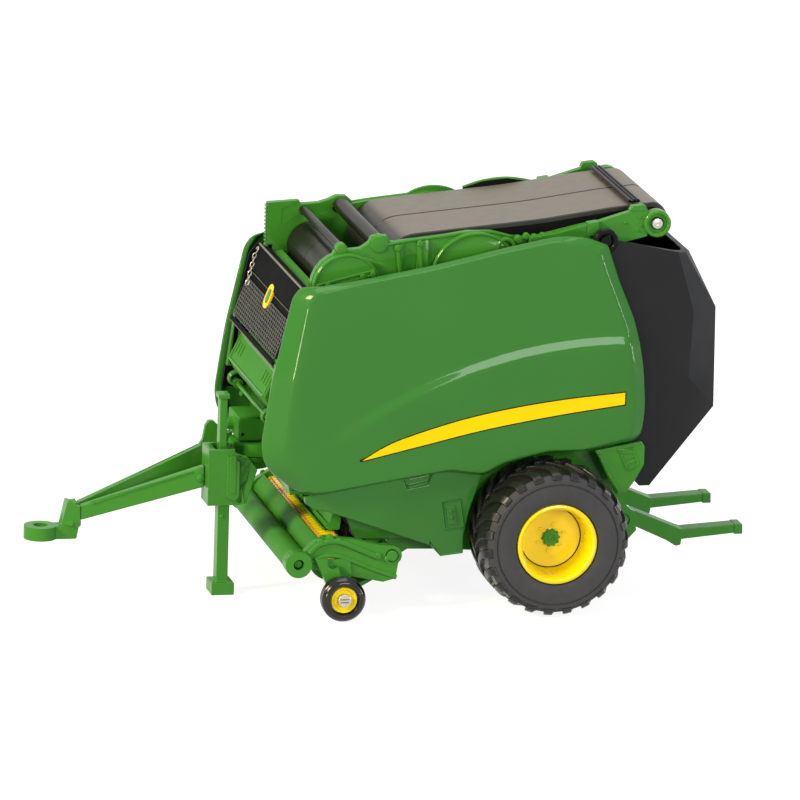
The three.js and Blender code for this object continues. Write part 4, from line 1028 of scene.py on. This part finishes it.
def make_pickup():
    dressed("pickup_shaft", GREEN, 0.2)
    dressed("pickup_pan", GREEN, 0.2)
    reel = middle("pickup_reel")
    size = half_size("pickup_reel")
    radius = size.z
    span = extent("pickup_crossbar")[1].y
    half = span - 0.6
    bands = 30
    pitch = 2 * half / bands
    profile = [(0, -half)]
    for start in (-half + pitch * i for i in range(bands)):
        profile += [(radius - 0.35, start), (radius - 0.05, start + pitch * 0.15),
                    (radius - 0.05, start + pitch * 0.85), (radius - 0.35, start + pitch * 0.98)]
    shape = Shape().turn(reel, 1, [*profile, (0, half)])
    shape.turn(reel, 1, both_ends([(0, size.y), (1.4, size.y)]), 20)
    remake("pickup_reel", shape, YELLOW)

    tines = Shape()
    for angle in (math.radians(45 * row + 68) for row in range(8)):
        out = Vector((math.cos(angle), 0, math.sin(angle)))
        for i in range(bands * 2):
            foot = Vector((reel.x, -half + pitch * (i + 0.5) / 2, reel.z)) + out * (radius - 0.3)
            tines.tube([foot, foot + out * 0.48], 0.24, 6)
    make("pickup_tines", tines, TINE, "pickup")

    bar_half = 24.3
    centre = (reel.x, reel.z)
    bars = Shape().plate([*arc(centre, radius + 0.9, 168, 122, 10),
                          *arc(centre, radius + 0.3, 122, 168, 10)], -span, span)
    bar = outline([(-52.2, 18.9), (-51.6, 20.4), (-50.8, 22.6), (-49.4, 22.9), (-48.7, 21.6),
                   (-49, 18.6), (-51.4, 18.5)])
    bars.plate(bar, -bar_half, bar_half)
    for x, z, thick in ((-53, 19, 0.34), (-52, 19.9, 0.4)):
        bars.tube([place(x, y, z) for y in (-bar_half, bar_half)], thick, 10)
    back = outline([(-47.3, 19.4), (-46.7, 19.4), (-46.3, 10.4), (-47, 10.4)])
    make("pickup_back", Shape().plate(back, 0.1 - bar_half, bar_half - 0.1), BLACK, "pickup",
         bevel=0.1)
    remake("pickup_crossbar", bars, FLAT_GREEN, bevel=0.16)

    roller = middle("pickup_roller")
    size = half_size("pickup_roller")
    shape = Shape().turn(roller, 1, both_ends([
        (0, half + 0.4), (size.z - 0.5, half + 0.4), (size.z, half - 0.2)]), 56)
    shape.turn(roller, 1, both_ends([(0, size.y), (0.8, size.y), (1, size.y - 0.2)]), 20)
    remake("pickup_roller", shape, FLAT_GREEN)

    spine = through(about(roller, [(2.6, 2.4), (5.2, 4.6), (9.4, 5.2), (14, 3.4), (19, 1.2)]))
    lower = through(about(roller, [(3.4, 0.2), (6.6, 1.6), (11, 1.2), (18, -1.8), (24, -4)]))
    knobs = [(5.4, 5.3, 0.8), (7.6, 5.9, 1), (9.8, 5.4, 0.7), (19.4, 1.3, 0.9), (21.6, 0.6, 0.7)]
    for name, side in SIDES:
        dressed("pickup_side_" + name, GREEN, 0.25)
        inside = side * (PICKUP_OUTER - 2.4)
        cover = Shape().disc((reel.x, inside, reel.z), side, radius + 0.25, 0.9, 0.2, 40)
        box = about(middle("gauge_tyre_" + name),
                    [(-4.2, 8.4), (2.6, 8.6), (3, 4.4), (1.2, 1), (-1.6, 0.4)])
        cover.plate(box, inside, side * (PICKUP_OUTER + 0.5))
        make("gauge_bracket_" + name, cover, GREEN, "pickup", bevel=0.3, rounds=3)
        face = side * PICKUP_OUTER
        trim = Shape().ridge(spine, face, 0.8).ridge(lower, face, 0.6)
        for dx, dz, wide in knobs:
            knob = (roller.x + dx, face - side * 0.3, roller.z + dz)
            trim.disc(knob, side, wide, 0.95, 0.3, 18)
        make("pickup_trim_" + name, trim, GREEN, "pickup")


def make_gauge_wheels():
    for name, side in SIDES:
        centre = middle("gauge_tyre_" + name)
        size = half_size("gauge_tyre_" + name)
        radius, half = size.z, size.y
        bead = half_size("gauge_rim_" + name).z + 0.08
        tyre = inset(bead, half, [(0, 0.5), (-0.3, 0.1), (-0.8, 0), (-1.1, 0.15)])
        tyre += inset(radius, half, [(0.75, 0.2), (0.45, 0.45), (0.15, 1), (0, 1.15), (0, 1.75),
                                     (0.2, 1.85), (0.2, 2.05), (0, 2.15)])
        shape = Shape().turn(centre, side, both_ends(tyre), 64, loop=True)
        remake("gauge_tyre_" + name, shape, GLOSS_TYRE, smooth=30)
        bore = 1.15
        outer = bead - 0.1
        rim = [(bore, half - 1), (1.9, half - 1), (2.05, half - 1.15), (2.3, half - 1.15),
               (2.45, half - 0.85), (2.75, half - 0.6), (outer - 0.1, half - 0.6),
               (outer, half - 0.75), (outer, 0.6 - half), (bore, 0.6 - half)]
        shape = Shape().turn(centre, side, rim, 56, loop=True)
        remake("gauge_rim_" + name, shape, YELLOW, smooth=30)

        dressed("gauge_pin_" + name, STEEL, 0.2)
        head = side * max(abs(corner.y) for corner in extent("gauge_pin_" + name))
        near, far = sorted((head, head - side * 0.12))
        slot = Shape()
        for z in (centre.z - 0.36, centre.z + 0.36):
            slot.block((centre.x - 1.1, near, z - 0.14), (centre.x + 1.1, far, z + 0.14))
        make("gauge_pin_slot_" + name, slot, STEEL, "pickup", bevel=0.04)


# --- stage

def combined(tree, operation, first, second):
    node = tree.nodes.new("ShaderNodeMath")
    node.operation = operation
    fill(tree, node, {0: first, 1: second})
    return node.outputs[0]


def camera_ray(tree, strength):
    """Light that only the camera, mirrors and glass see."""
    rays = tree.nodes.new("ShaderNodeLightPath").outputs
    seen = combined(tree, "MAXIMUM", rays["Is Camera Ray"], rays["Is Glossy Ray"])
    seen = combined(tree, "MAXIMUM", seen, rays["Is Transmission Ray"])
    return combined(tree, "MULTIPLY", seen, strength)


def make_world():
    world = bpy.data.worlds.new("studio")
    bpy.context.scene.world = world
    world.use_nodes = True
    tree = world.node_tree
    strength = combined(tree, "ADD", camera_ray(tree, 0.7), 0.3)
    fill(tree, tree.nodes["Background"], {"Color": (1, 1, 1, 1), "Strength": strength})


def make_floor():
    material = bpy.data.materials.new("floor")
    material.use_nodes = True
    tree = material.node_tree
    fill(tree, tree.nodes["Principled BSDF"], {
        "Base Color": (0.36, 0.36, 0.36, 1), "Roughness": 1, "Specular IOR Level": 0,
        "Emission Color": (1, 1, 1, 1), "Emission Strength": camera_ray(tree, 0.86)})
    half = 6
    mesh = bpy.data.meshes.new("floor")
    corners = [(-half, -half, 0), (half, -half, 0), (half, half, 0), (-half, half, 0)]
    mesh.from_pydata(corners, [], [(0, 1, 2, 3)])
    mesh.materials.append(material)
    floor = bpy.data.objects.new("floor", mesh)
    bpy.context.scene.collection.objects.link(floor)


def lamp(name, location, aim, size, watts, colour=(1, 1, 1)):
    light = bpy.data.lights.new(name, "AREA")
    light.shape = "RECTANGLE"
    light.size, light.size_y = size
    light.energy = watts
    light.color = colour
    obj = bpy.data.objects.new(name, light)
    obj.location = location
    obj.rotation_euler = (Vector(aim) - Vector(location)).to_track_quat("-Z", "Y").to_euler()
    bpy.context.scene.collection.objects.link(obj)


def make_lights():
    lamp("key", (-1.55, -0.5, 1), (0, 0, 0.04), (0.45, 0.45), 34, (1, 0.82, 0.52))
    lamp("top", (0.1, 0.2, 1.8), (0, 0, 0.04), (1.2, 1.2), 13, (1, 0.97, 0.9))
    lamp("fill", (0.36, -1.8, 0.62), (0, 0, 0.05), (0.66, 0.46), 11.3)
    lamp("rear", (1.62, 0.4, 0.5), (0, 0, 0.05), (0.3, 0.6), 7)
    lamp("rear_strip", (1.42, -0.76, 0.2), (0, 0, 0.05), (0.12, 0.36), 5)
    lamp("rear_glint", (0.37, -0.14, 0.04), (0.05, -0.03, 0.05), (0.03, 0.06), 0.1)
    lamp("front_glint", (-0.44, -0.42, 0.045), (-0.03, -0.03, 0.06), (0.05, 0.08), 0.85,
         (1, 0.9, 0.66))


def make_camera():
    """A long lens at the photograph's viewing angle, turned a little about its own axis."""
    data = bpy.data.cameras.new("camera")
    data.lens = 396
    data.sensor_width = 36
    data.clip_end = 30
    camera = bpy.data.objects.new("camera", data)
    location = Vector((-0.464, -1.9975, 0.545))
    aim = Vector((0.0047, 0, 0.0439))
    roll = Quaternion((0, 0, 1), math.radians(1.79))
    turn = (aim - location).to_track_quat("-Z", "Y") @ roll
    camera.matrix_world = turn.to_matrix().to_4x4()
    camera.location = location
    bpy.context.scene.collection.objects.link(camera)
    bpy.context.scene.camera = camera


for build in (make_camera, make_world, make_floor, make_lights, make_drawbar, make_jack,
              make_front, make_grille, make_walls, make_panels, make_stripes, make_skirts,
              make_rollers, make_belts, make_arms, make_tailgate, make_ramp, make_wheels,
              make_axle, make_pickup, make_gauge_wheels):
    build()

bpy.context.scene.view_settings.view_transform = "Standard"
